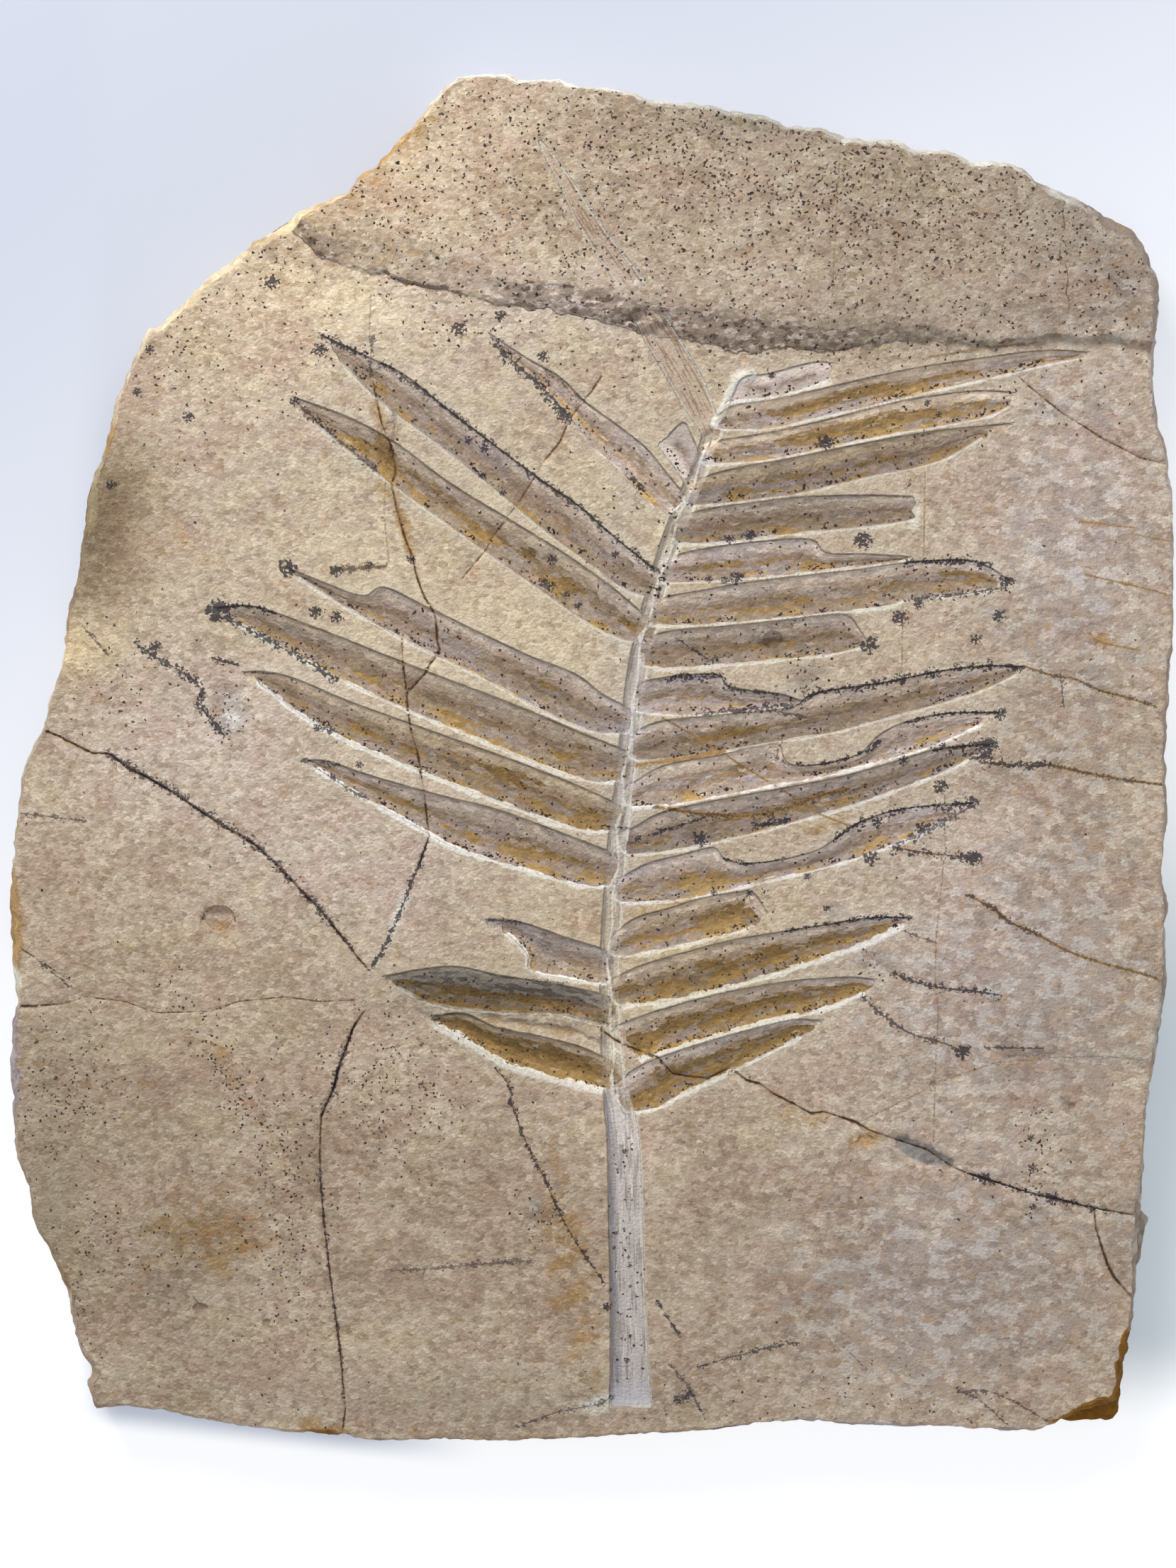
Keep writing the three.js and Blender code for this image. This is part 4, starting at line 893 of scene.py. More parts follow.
class PointBed:
    # Takes points in order of importance and drops any that crowds one already there.
    def __init__(self, cell):
        self.cell = cell
        self.taken = {}
        self.spots = []

    def add(self, points, spacing):
        for x, y in points:
            cx, cy = int(x // self.cell), int(y // self.cell)
            reach = int(spacing // self.cell) + 1
            crowded = any(
                (x - a) ** 2 + (y - b) ** 2 < spacing**2
                for i in range(cx - reach, cx + reach + 1)
                for j in range(cy - reach, cy + reach + 1)
                for a, b in self.taken.get((i, j), ()))
            if not crowded:
                self.taken.setdefault((cx, cy), []).append((x, y))
                self.spots.append((x, y))


def rows(line, offsets):
    side = np.gradient(line[:, :2], axis=0)
    side = np.column_stack([side[:, 1], -side[:, 0]]) / np.maximum(np.hypot(*side.T), 1e-9)[:, None]
    return [line[:, :2] + side * offset for offset in offsets]


def ellipse(x, y, halfX, halfY, count, start=0.0):
    angles = np.arange(count) * math.tau / count + start
    return [(x + halfX * math.cos(a), y + halfY * math.sin(a)) for a in angles]


def fillInside(bed, loop, step, shake, closest):
    # Rows of points in a shaken triangular pattern, the last two amounts as shares of the step.
    low, high = outline.min(0), outline.max(0)
    for row, y in enumerate(np.arange(low[1], high[1], step * 0.866)):
        x = np.arange(low[0], high[0], step) + (row % 2) * step / 2
        grid = np.column_stack([x, np.full(len(x), y)]) + rng.uniform(-shake, shake, (len(x), 2)) * step
        bed.add(grid[insideLoop(grid, loop)], step * closest)


def facePoints():
    bed = PointBed(0.8)
    bed.add(rimLoop, 0.05)
    border = len(bed.spots)
    inner = rimLoop + inward(rimLoop) * 1.0
    for leaf in leaflets:
        for line, offsets in ((leaf["upperLine"], (0, 0.4, 0.85, -0.6)),
                              (leaf["lowerLine"], (0, -0.5, -1.0, 0.6))):
            # offsets run to the right of the line, which is into the hollow for leaflets on the right
            turned = 1 if leaf["upperLine"][-1][0] > leaf["upperLine"][0][0] else -1
            for points in rows(line, [offset * turned for offset in offsets]):
                bed.add(points, 0.33)
    for line in (stemLine, tipLine):
        side = np.gradient(line[:, :2], axis=0)
        side = np.column_stack([side[:, 1], -side[:, 0]]) / np.hypot(*side.T)[:, None]
        for share, extra in ((1, 0), (-1, 0), (1, -0.8), (-1, -0.8), (1, 0.7), (-1, 0.7), (0, 0)):
            bed.add(line[:, :2] + side * (share * (line[:, 2] + extra))[:, None], 0.4)
    for lines, aside, spacing in ((paleSeams + darkSeams, 0.45, 0.36), (crackLines, 0.5, 0.33),
                                  (fringeLines, 0.8, 0.45)):
        for line in lines:
            for points in rows(line, (0, aside, -aside)):
                bed.add(points, spacing)
    for line in hairLines:
        bed.add(line, 0.5)
    bed.add(twigLine, 0.5)
    for x, y, radius in bushes:
        bed.add([(x, y)], 0.5)
        for ring in (0.5, 1.0, 1.5):
            bed.add(ellipse(x, y, radius * ring, radius * ring, 6, ring), 0.6)
    for x, y, halfLength, halfWidth, depth in pits:
        for ring in (0.0, 0.4, 0.7, 0.84, 0.92, 1.02):
            bed.add(ellipse(x, y, halfLength * ring, halfWidth * ring, 2 + 16 * ring), 0.35)
    bed.add(inner, 0.8)
    line = np.array(scarp["line"], float)
    xs = np.arange(-100, 178, 0.9)
    for share in np.arange(-0.15, 1.2, 0.08):
        foot, crest = (np.interp(xs, line[:, 0], line[:, k]) for k in (1, 2))
        band = np.column_stack([xs, foot + (crest - foot) * share]) + rng.uniform(-0.3, 0.3, (len(xs), 2))
        bed.add(band[insideLoop(band, inner)], 0.62)
    fillInside(bed, inner, slab["faceStep"], 0.28, 0.62)
    spots = np.array(bed.spots)
    keep = np.ones(len(spots), bool)
    keep[border:] = insideLoop(spots[border:], rimLoop)
    return spots[keep], border


def trianglesInside(spots, border):
    loop = list(range(border))
    verts, _, faces, _, _, _ = delaunay_2d_cdt([Vector(p) for p in spots], [], [loop], 1, 1e-4)
    return np.array([tuple(v) for v in verts]), [tuple(f) for f in faces]


# The slab's mesh

edgePlan = [
    # rings from just under the rim down to the back: which loop they follow, how far in they lie,
    # and their height: a share of the rim's, a share of the broken corner's, and millimetres more
    ("face", 0.25, 1, 0, -0.9), ("face", -0.1, 1, 0, -1.9), ("face", -0.15, 1, 0, -3.0),
    ("face", -0.1, 0.5, 0.5, 0), ("face", 0.0, 0, 1, 0.35), ("wide", 0.1, 0, 1, -0.1),
    ("wide", 0.0, 0, 0, 7.8), ("wide", 0.0, 0, 0, 6.2), ("wide", 0.1, 0, 0, 4.6),
    ("wide", 0.3, 0, 0, 3.0),
    ("wide", 0.8, 0, 0, 1.4), ("wide", 1.2, 0, 0, 0.25)]


def edgeRings(rimHeights):
    low, high = outline.min(0) + 0.5, outline.max(0) - 0.5
    rings = []
    for level, (which, inset, ofRim, ofCorner, more) in enumerate(edgePlan):
        height = ofRim * rimHeights + ofCorner * slab["cornerFace"] + more
        loop = wideLoop if which == "wide" else faceLoop
        flaking = roughness(np.column_stack([loop[:, 0] + 3 * level, loop[:, 1]]), 6.5, 4, 2.7 * level)
        depth = inset + np.maximum(0.2 + 0.7 * flaking + 0.6 * chipping, -0.15)
        if which == "face":
            depth = depth + 0.25 * np.maximum(rimWidth - 1, 0) * (1 - level / 5)
        jitter = rng.uniform(-0.25, 0.25, len(loop)) if 0 < level < len(edgePlan) - 1 else 0
        place = np.clip(loop + inward(loop) * depth[:, None], low, high)
        rings.append(np.column_stack([place, height + jitter]))
    return rings


def backPoints(loop):
    bed = PointBed(2.0)
    bed.add(loop, 0.01)
    border = len(bed.spots)
    inner = loop + inward(loop) * 3.5
    fillInside(bed, inner, slab["backStep"], 0.25, 0.5)
    return np.array(bed.spots), border


def makeSlabMesh():
    spots, border = facePoints()
    print("face points:", len(spots))
    faceSpots, faceTriangles = trianglesInside(spots, border)
    z, fields = faceRelief(faceSpots)
    z = np.minimum(z, slabHigh.z / mm - 0.65)
    count = len(wideLoop)
    rings = edgeRings(z[:count])
    backSpots, backBorder = backPoints(rings[-1][:, :2] + inward(wideLoop) * 0.2)
    backFlat, backTriangles = trianglesInside(backSpots, backBorder)
    back = np.column_stack([backFlat, np.zeros(len(backFlat))])
    verts = [np.column_stack([faceSpots, z])] + rings + [back]
    faces = [tuple(reversed(f)) if turnsRight(faceSpots, f) else f for f in faceTriangles]
    regions = [0] * len(faces)
    starts = [0] + [len(faceSpots) + count * i for i in range(len(rings) + 1)]
    for upper, lower in zip(starts, starts[1:]):
        for i in range(count):
            j = (i + 1) % count
            faces += [(upper + j, upper + i, lower + i), (upper + j, lower + i, lower + j)]
            regions += [1, 1]
    for face in backTriangles:
        face = face if turnsRight(backFlat, face) else tuple(reversed(face))
        faces.append(tuple(starts[-1] + i for i in face))
        regions.append(2)
    allVerts = np.vstack(verts)
    allVerts[:, :2] -= drawingMiddle
    mesh = bpy.data.meshes.new(slabName + "_stone")
    mesh.from_pydata((allVerts * mm).tolist(), [], faces)
    mesh.update()
    total = len(allVerts)
    for name, values in fields.items():
        if name == "bush":
            full = np.full((total, 3), 4.0)
            full[:len(z)] = values
            mesh.attributes.new(name, "FLOAT_VECTOR", "POINT").data.foreach_set("vector", full.ravel())
            continue
        full = np.full(total, float(fieldStarts[name]))
        full[:len(z)] = values
        if name.endswith("Stain") or name in ("tone", "warmth"):
            stain = rimStain(name[:-5]) if name.endswith("Stain") else 0
            full[:count] += stain
            for start in starts[1:-1]:
                full[start:start + count] = values[:count] + stain
        mesh.attributes.new(name, "FLOAT", "POINT").data.foreach_set("value", full)
    region = mesh.attributes.new("region", "INT", "FACE")
    region.data.foreach_set("value", regions)
    relief = mesh.attributes["relief"].data
    for first, last, amount in ((len(z), starts[-1], 1.4), (starts[-1], total, 0.0), (0, count, 0.4)):
        for i in range(first, last):
            relief[i].value = amount
    return mesh


def turnsRight(points, face):
    a, b, c = (points[i] for i in face[:3])
    return (b[0] - a[0]) * (c[1] - a[1]) - (b[1] - a[1]) * (c[0] - a[0]) < 0


# Node helpers

class Wire:
    # A value on its way through a node tree: arithmetic on it adds the math nodes.
    def __init__(self, tree, socket):
        self.tree, self.socket = tree, socket

    def __add__(self, other):
        return calc("ADD", self, other)

    def __radd__(self, other):
        return calc("ADD", other, self)

    def __sub__(self, other):
        return calc("SUBTRACT", self, other)

    def __rsub__(self, other):
        return calc("SUBTRACT", other, self)

    def __mul__(self, other):
        return calc("MULTIPLY", self, other)

    def __rmul__(self, other):
        return calc("MULTIPLY", other, self)

    def __truediv__(self, other):
        return calc("DIVIDE", self, other)

    def __rtruediv__(self, other):
        return calc("DIVIDE", other, self)


class Wires:
    # What a node gives out, by name or by number.
    def __init__(self, tree, sockets):
        self.tree, self.sockets = tree, sockets

    def __getitem__(self, key):
        return Wire(self.tree, self.sockets[key])


def connect(wire, socket):
    wire.tree.links.new(wire.socket, socket)


def fillInputs(node, values):
    for key, value in values.items():
        if isinstance(value, Wire):
            connect(value, node.inputs[key])
        else:
            node.inputs[key].default_value = value


def addNode(tree, kind, values=None, **settings):
    node = tree.nodes.new(kind)
    for name, value in settings.items():
        setattr(node, name, value)
    fillInputs(node, values or {})
    return Wires(tree, node.outputs)


def calc(operation, *terms, clamp=False):
    tree = next(term.tree for term in terms if isinstance(term, Wire))
    return addNode(tree, "ShaderNodeMath", dict(enumerate(terms)), operation=operation,
                   use_clamp=clamp)[0]


def spread(value, low, high, toLow=0.0, toHigh=1.0):
    limits = {"Value": value, "From Min": low, "From Max": high, "To Min": toLow, "To Max": toHigh}
    return addNode(value.tree, "ShaderNodeMapRange", limits, interpolation_type="SMOOTHSTEP")["Result"]


def blendColour(share, first, second, kind="MIX"):
    colours = {"Factor": share, 6: first, 7: second}
    return addNode(share.tree, "ShaderNodeMix", colours, data_type="RGBA", blend_type=kind)[2]


def field(tree, name, kind="Fac"):
    return addNode(tree, "ShaderNodeAttribute", attribute_name=name)[kind]


def cloudNoise(position, size, detail=2.0, roughness=0.5, out="Fac"):
    settings = {"Vector": position, "Scale": 1 / size, "Detail": detail, "Roughness": roughness}
    return addNode(position.tree, "ShaderNodeTexNoise", settings)[out]


def partsOf(place):
    return addNode(place.tree, "ShaderNodeSeparateXYZ", {0: place})


def channelsOf(tint):
    return addNode(tint.tree, "ShaderNodeSeparateColor", {0: tint})


def combined(tree, x, y, z):
    return addNode(tree, "ShaderNodeCombineXYZ", {0: x, 1: y, 2: z})[0]


def stretched(place, scale, turn=0.0):
    return addNode(place.tree, "ShaderNodeMapping",
                   {"Vector": place, "Scale": scale, "Rotation": (0, 0, turn)})[0]


def scaled(tint, factor):
    return addNode(tint.tree, "ShaderNodeVectorMath", {0: tint, "Scale": factor}, operation="SCALE")[0]


def added(first, second):
    return addNode(first.tree, "ShaderNodeVectorMath", {0: first, 1: second}, operation="ADD")[0]


def shade(red, green, blue):
    channels = [c / 255 for c in (red, green, blue)]
    linear = [c / 12.92 if c <= 0.04045 else ((c + 0.055) / 1.055) ** 2.4 for c in channels]
    return (*linear, 1.0)


number, vector, shape = "NodeSocketFloat", "NodeSocketVector", "NodeSocketGeometry"


def newGroup(name, inputs, outputs, kind="ShaderNodeTree"):
    tree = bpy.data.node_groups.new(name, kind)
    for label, socketKind, default in inputs:
        socket = tree.interface.new_socket(label, in_out="INPUT", socket_type=socketKind)
        if default is not None:
            socket.default_value = default
    for label, socketKind in outputs:
        tree.interface.new_socket(label, in_out="OUTPUT", socket_type=socketKind)
    given = Wires(tree, tree.nodes.new("NodeGroupInput").outputs)
    return tree, given, tree.nodes.new("NodeGroupOutput").inputs


def useGroup(group, values):
    tree = next(value.tree for value in values.values() if isinstance(value, Wire))
    node = tree.nodes.new("ShaderNodeGroup")
    node.node_tree = group
    fillInputs(node, values)
    return Wires(tree, node.outputs)


# Shared shader groups

chipShake = {"size": 1.1, "reach": 1.5}


def makeChips(name, dimensions, detail=1.0):
    # Every spot takes the middle of the small flat chip that it lies on, so that a cloud read there
    # comes out in crisp-edged patches.
    tree, given, result = newGroup(name, [("Position", vector, None), ("Chip Size", number, 1.2)],
                                   [("Middle", vector), ("Tone", number)])
    perSize = 1.0 / given["Chip Size"]
    shake = addNode(tree, "ShaderNodeTexNoise",
                    {"Vector": given["Position"], "Detail": detail,
                     "Scale": perSize * chipShake["size"]})["Color"]
    shaken = scaled(shake, given["Chip Size"] * chipShake["reach"])
    moved = added(given["Position"], shaken)
    cells = addNode(tree, "ShaderNodeTexVoronoi", {"Vector": moved, "Scale": perSize},
                    voronoi_dimensions=dimensions)
    connect(cells["Position"], result["Middle"])
    connect(channelsOf(cells["Color"])[0], result["Tone"])
    return tree


flatChips = makeChips("flatChips", "2D")
dotChips = makeChips("dotChips", "2D", 0.0)
chipsAllRound = makeChips("chipsAllRound", "3D")


def chipsAt(place, size, group=flatChips):
    return useGroup(group, {"Position": place, "Chip Size": size})


def makeStain():
    # A ragged patch: the cloud eats into it from its edge.
    tree, given, result = newGroup("stainPatch", [("Cloud", number, 0.5), ("Amount", number, 0.0)],
                                   [("Mask", number)])
    lifted = given["Amount"] + (given["Cloud"] - 0.5) * 2.0
    ragged = spread(lifted, 0.15, 0.8)
    present = spread(given["Amount"], 0.02, 0.3)
    connect(ragged * present, result["Mask"])
    return tree


fringeLook = {
    "leafSize": 0.62, "twigSize": 0.8, "clumpSize": 3.2,
    "reach": (0.25, 1.55),  # between the clumps and in them
    "fade": 0.85, "scatter": 1.2,
    "core": (0.34, 0.2),  # a solid line nearer than this
}


def makeFringe():
    # Small black leaves crowded along a line in loose clumps, fewer of them further out.
    tree, given, result = newGroup("dendriteFringe", [
        ("Position", vector, None), ("Distance", number, 6.0), ("Black", number, 1.0)],
        [("Mask", number)])
    leaf = chipsAt(given["Position"], fringeLook["leafSize"], dotChips)
    twigs = cloudNoise(given["Position"], fringeLook["twigSize"], 1.0, 0.5)
    clumps = cloudNoise(given["Position"], fringeLook["clumpSize"], 2.0, 0.55)
    reach = spread(clumps, 0.34, 0.68, *fringeLook["reach"])
    left = 1.0 - given["Distance"] / reach
    share = left * fringeLook["fade"] + (twigs - 0.5) * fringeLook["scatter"]
    bushy = calc("LESS_THAN", leaf["Tone"], share) * spread(left, 0.0, 0.1)
    core = spread(given["Distance"] + twigs * 0.3, *fringeLook["core"])
    core *= spread(clumps, 0.3, 0.55, 0.25, 0.9)
    connect(calc("MULTIPLY", calc("MAXIMUM", bushy, core), given["Black"], clamp=True), result["Mask"])
    return tree


bushLook = {
    # in shares of the bush's radius
    "leafSize": 0.2, "heart": 0.4, "armLength": 0.75, "limit": (1.3, 1.1),
    "turns": 3.0,  # twice as many arms
    "bend": 5.0, "missing": 0.62, "ragged": 0.85,
}


def makeBush():
    # A little shrub seen from above: ragged arms broken up into angular leaves.
    tree, given, result = newGroup("dendriteBush", [("Offset", vector, None), ("Distance", number, 4.0)],
                                   [("Mask", number)])
    leaf = chipsAt(given["Offset"], bushLook["leafSize"], dotChips)
    parts = partsOf(leaf["Middle"])
    seed = partsOf(given["Offset"])[2]
    far = calc("SQRT", parts[0] * parts[0] + parts[1] * parts[1])
    angle = calc("ARCTAN2", parts[1], parts[0])
    shifted = combined(tree, parts[0], parts[1], seed * 9.0)
    ripple = addNode(tree, "ShaderNodeTexNoise", {"Vector": shifted, "Scale": 1.3, "Detail": 1.0})["Fac"]
    bend = (ripple - 0.5) * bushLook["bend"]
    turned = angle * bushLook["turns"] + bend + seed * 20.0
    arms = calc("ABSOLUTE", calc("COSINE", turned))
    reach = bushLook["heart"] + arms * bushLook["armLength"]
    left = reach - far
    kept = left + (leaf["Tone"] - bushLook["missing"]) * bushLook["ragged"]
    within = spread(given["Distance"], *bushLook["limit"])
    connect(spread(kept, 0.0, 0.03) * within, result["Mask"])
    return tree


mostSpecks = 0.11  # share of the tiny chips that are black where specks lie thickest


def makeSpecks():
    # Scattered angular dots: a few of many tiny chips are black.
    tree, given, result = newGroup("speckField", [
        ("Position", vector, None), ("Density", number, 0.5), ("Dot Size", number, 0.8)],
        [("Mask", number)])
    dots = chipsAt(given["Position"], given["Dot Size"], dotChips)
    connect(calc("LESS_THAN", dots["Tone"], given["Density"] * mostSpecks), result["Mask"])
    return tree


def specksAt(place, density, size):
    return useGroup(speckField, {"Position": place, "Density": density, "Dot Size": size})["Mask"]


def gritAt(place, size):
    return useGroup(stoneGrain, {"Position": place, "Grain Size": size})["Height"]


def makeGrain():
    tree, given, result = newGroup("stoneGrain",
                                   [("Position", vector, None), ("Grain Size", number, 1.0)],
                                   [("Height", number)])
    size = 1.0 / given["Grain Size"]
    grit = addNode(tree, "ShaderNodeTexNoise",
                   {"Vector": given["Position"], "Scale": size, "Detail": 2.0, "Roughness": 0.65})["Fac"]
    connect(grit, result["Height"])
    return tree


stainPatch = makeStain()
dendriteFringe = makeFringe()
dendriteBush = makeBush()
speckField = makeSpecks()
stoneGrain = makeGrain()


# Materials

def startMaterial(name, roughness):
    material = bpy.data.materials.new(name)
    material.use_nodes = True
    tree = material.node_tree
    shader = tree.nodes["Principled BSDF"]
    shader.inputs["Roughness"].default_value = roughness
    shader.inputs["Specular IOR Level"].default_value = 0.25
    place = addNode(tree, "ShaderNodeTexCoord")["Object"]
    position = stretched(place, (1000, 1000, 1000))
    return material, tree, shader, position


def finishMaterial(tree, shader, tint, height, strength):
    # the height is in millimetres
    bump = addNode(tree, "ShaderNodeBump", {"Height": height, "Strength": strength, "Distance": mm})
    connect(bump[0], shader.inputs["Normal"])
    connect(tint, shader.inputs["Base Color"])


stainShades = {
    # colour, and how strong at most
    "cream": (shade(218, 201, 170), 0.7), "brown": (shade(156, 133, 113), 0.6),
    "grey": (shade(180, 170, 159), 0.72),
    "ochre": (shade(174, 138, 86), 0.8), "lilac": (shade(168, 160, 166), 0.8),
    "white": (shade(232, 227, 214), 0.9),
    "amber": (shade(138, 96, 34), 1.0), "slate": (shade(134, 130, 124), 0.85),
}


groundLook = {
    "broadSize": 28.0, "broadShare": 0.4, "warmSize": 17.0, "stainSize": 6.5,
    "patchSize": 2.1, "fawnSize": 1.4,  # times the stone's own patches
    "warm": shade(190, 160, 143), "yellow": shade(196, 176, 138), "lower": shade(206, 198, 190),
    "patches": shade(225, 215, 208), "fawn": shade(172, 143, 112),
    "flicker": 0.16, "brightness": 1.11,
    "lowerHeight": -0.8, "cloudHeight": 2.2, "chipHeight": 0.6,
}


def layeredStone(tree, chip, pale, middle, patchSize):
    # A mottled ground with its stains, and over it crisp lower patches whose share drifts over the slab.
    spot = chip["Middle"]
    broad = cloudNoise(spot, groundLook["broadSize"], 1.0, 0.5)
    cloud = cloudNoise(spot, patchSize, 3.0, 0.62)
    level = cloud + (broad - 0.5) * groundLook["broadShare"]
    tint = blendColour(spread(level, 0.4, 0.52), pale, middle)
    warm = cloudNoise(spot, groundLook["warmSize"], 2.0, 0.6)
    tint = blendColour(spread(warm, 0.46, 0.62, 0.0, 0.4), tint, groundLook["warm"])
    greyed = field(tree, "greyStain")
    yellow = spread(warm, 0.45, 0.32, 0.0, 0.3) * spread(greyed, 0.0, 0.4, 1.0, 0.0)
    tint = blendColour(yellow, tint, groundLook["yellow"])
    clouds = channelsOf(cloudNoise(spot, groundLook["stainSize"], 2.0, 0.68, "Color"))
    for order, (kind, (stain, strength)) in enumerate(stainShades.items()):
        mask = useGroup(stainPatch,
                        {"Cloud": clouds[order % 3], "Amount": field(tree, kind + "Stain")})["Mask"]
        tint = blendColour(mask * strength, tint, stain)
    lower = spread(level, 0.555, 0.585)
    tint = blendColour(lower * 0.5, tint, groundLook["lower"], "MULTIPLY")
    patches = spread(cloudNoise(spot, patchSize * groundLook["patchSize"], 2.0, 0.62), 0.47, 0.485)
    tint = blendColour(patches * spread(greyed, 0.1, 0.5, 0.3, 0.85), tint, groundLook["patches"],
                       "MULTIPLY")
    fawn = spread(cloudNoise(spot, patchSize * groundLook["fawnSize"], 1.0, 0.5), 0.36, 0.33)
    tint = blendColour(fawn * spread(warm, 0.35, 0.6, 0.25, 0.7), tint, groundLook["fawn"])
    flicker = spread(chip["Tone"], 0.0, 1.0, -groundLook["flicker"], groundLook["flicker"])
    flicker *= spread(greyed, 0.1, 0.6, 1.0, 0.4)
    tint = scaled(tint, flicker + groundLook["brightness"])
    height = lower * groundLook["lowerHeight"] + cloud * groundLook["cloudHeight"]
    return tint, height + chip["Tone"] * groundLook["chipHeight"]


def warmCast(tree, tint):
    warmth = field(tree, "warmth")
    cast = combined(tree, spread(warmth, -1.5, 1.5, 0.955, 1.045), 1.0,
                    spread(warmth, -1.5, 1.5, 1.14, 0.84))
    return addNode(tree, "ShaderNodeVectorMath", {0: tint, 1: cast}, operation="MULTIPLY")[0]


def ramp(value, stops):
    node = value.tree.nodes.new("ShaderNodeValToRGB")
    connect(value, node.inputs[0])
    elements = node.color_ramp.elements
    for element, (place, tint) in ((elements[0], stops[0]), (elements[1], stops[-1])):
        element.position, element.color = place, tint
    for place, tint in stops[1:-1]:
        elements.new(place).color = tint
    return Wire(value.tree, node.outputs[0])


faceFinish = {
    "roughness": 0.88, "lying": (0.78, 1.1, 1.0), "chipSize": 0.9, "patchSize": 2.6, "gritSize": 0.9,
    "gritHeight": 0.6, "bump": 0.95,
    "pale": shade(208, 192, 171), "middle": shade(194, 176, 155), "fleck": shade(202, 188, 172),
    "calcite": shade(241, 234, 221), "line": shade(92, 82, 86), "dendrite": shade(50, 47, 56),
    "speck": shade(56, 43, 43),
    "rust": shade(172, 130, 66), "olive": shade(142, 114, 84), "crack": shade(66, 50, 38),
    "rustyCrack": shade(124, 90, 56),
    "stemDark": shade(166, 154, 142), "stemPale": shade(202, 189, 173), "stemLilac": shade(212, 203, 200),
    "stemShadow": shade(142, 139, 147), "stalkEnd": shade(222, 219, 226),
    "ridgeCream": shade(218, 203, 178),
    # the crumbs' darkest colour is painted shade in the gaps between them
    "crumbDark": shade(102, 82, 70), "crumbMiddle": shade(166, 146, 129),
    "crumbPale": shade(216, 200, 185),
    # the crevice colour is painted shade
    "crevice": shade(92, 76, 66),
    # down a hollow's floor, from its upper edge to its lower one; this and the gold below are darkest
    # where the floor sinks deepest, as painted shade
    "floor": [(0.0, shade(206, 190, 174)), (0.2, shade(194, 176, 159)), (0.38, shade(160, 140, 120)),
              (0.52, shade(134, 113, 91)), (0.7, shade(156, 135, 111)), (1.0, shade(160, 142, 122))],
    "pinkFloor": shade(172, 145, 128), "lilacFloor": shade(164, 153, 151),
    "faintFloor": shade(208, 192, 180),
    "gold": [(0.0, shade(160, 126, 80)), (0.42, shade(126, 100, 58)), (0.62, shade(150, 118, 68)),
             (1.0, shade(178, 144, 88))],
    "tipStreak": shade(152, 122, 102), "tipPale": shade(198, 177, 157),
}


def ribbons(tree, along, across, longer, narrower, seed=0.0):
    # Chips drawn out lengthwise, for streaks that follow a leaflet or the stem.
    place = combined(tree, along * (1 / longer), across * (1 / narrower), seed)
    return chipsAt(place, 1.0)


leafletLook = {
    "width": 12.0, "streakLength": 2.2, "streakWidth": 0.85, "cloudSize": 1.7, "driftSize": 7.0,
    "wander": 0.55,
    "pinkShare": 0.4, "lilacShare": 0.4, "goldShare": 0.9,
    "cloudy": (0.82, 1.27), "chipped": (0.87, 1.11),  # darkest and lightest
    "bandDark": shade(122, 112, 114), "bandPale": shade(174, 166, 163),
}


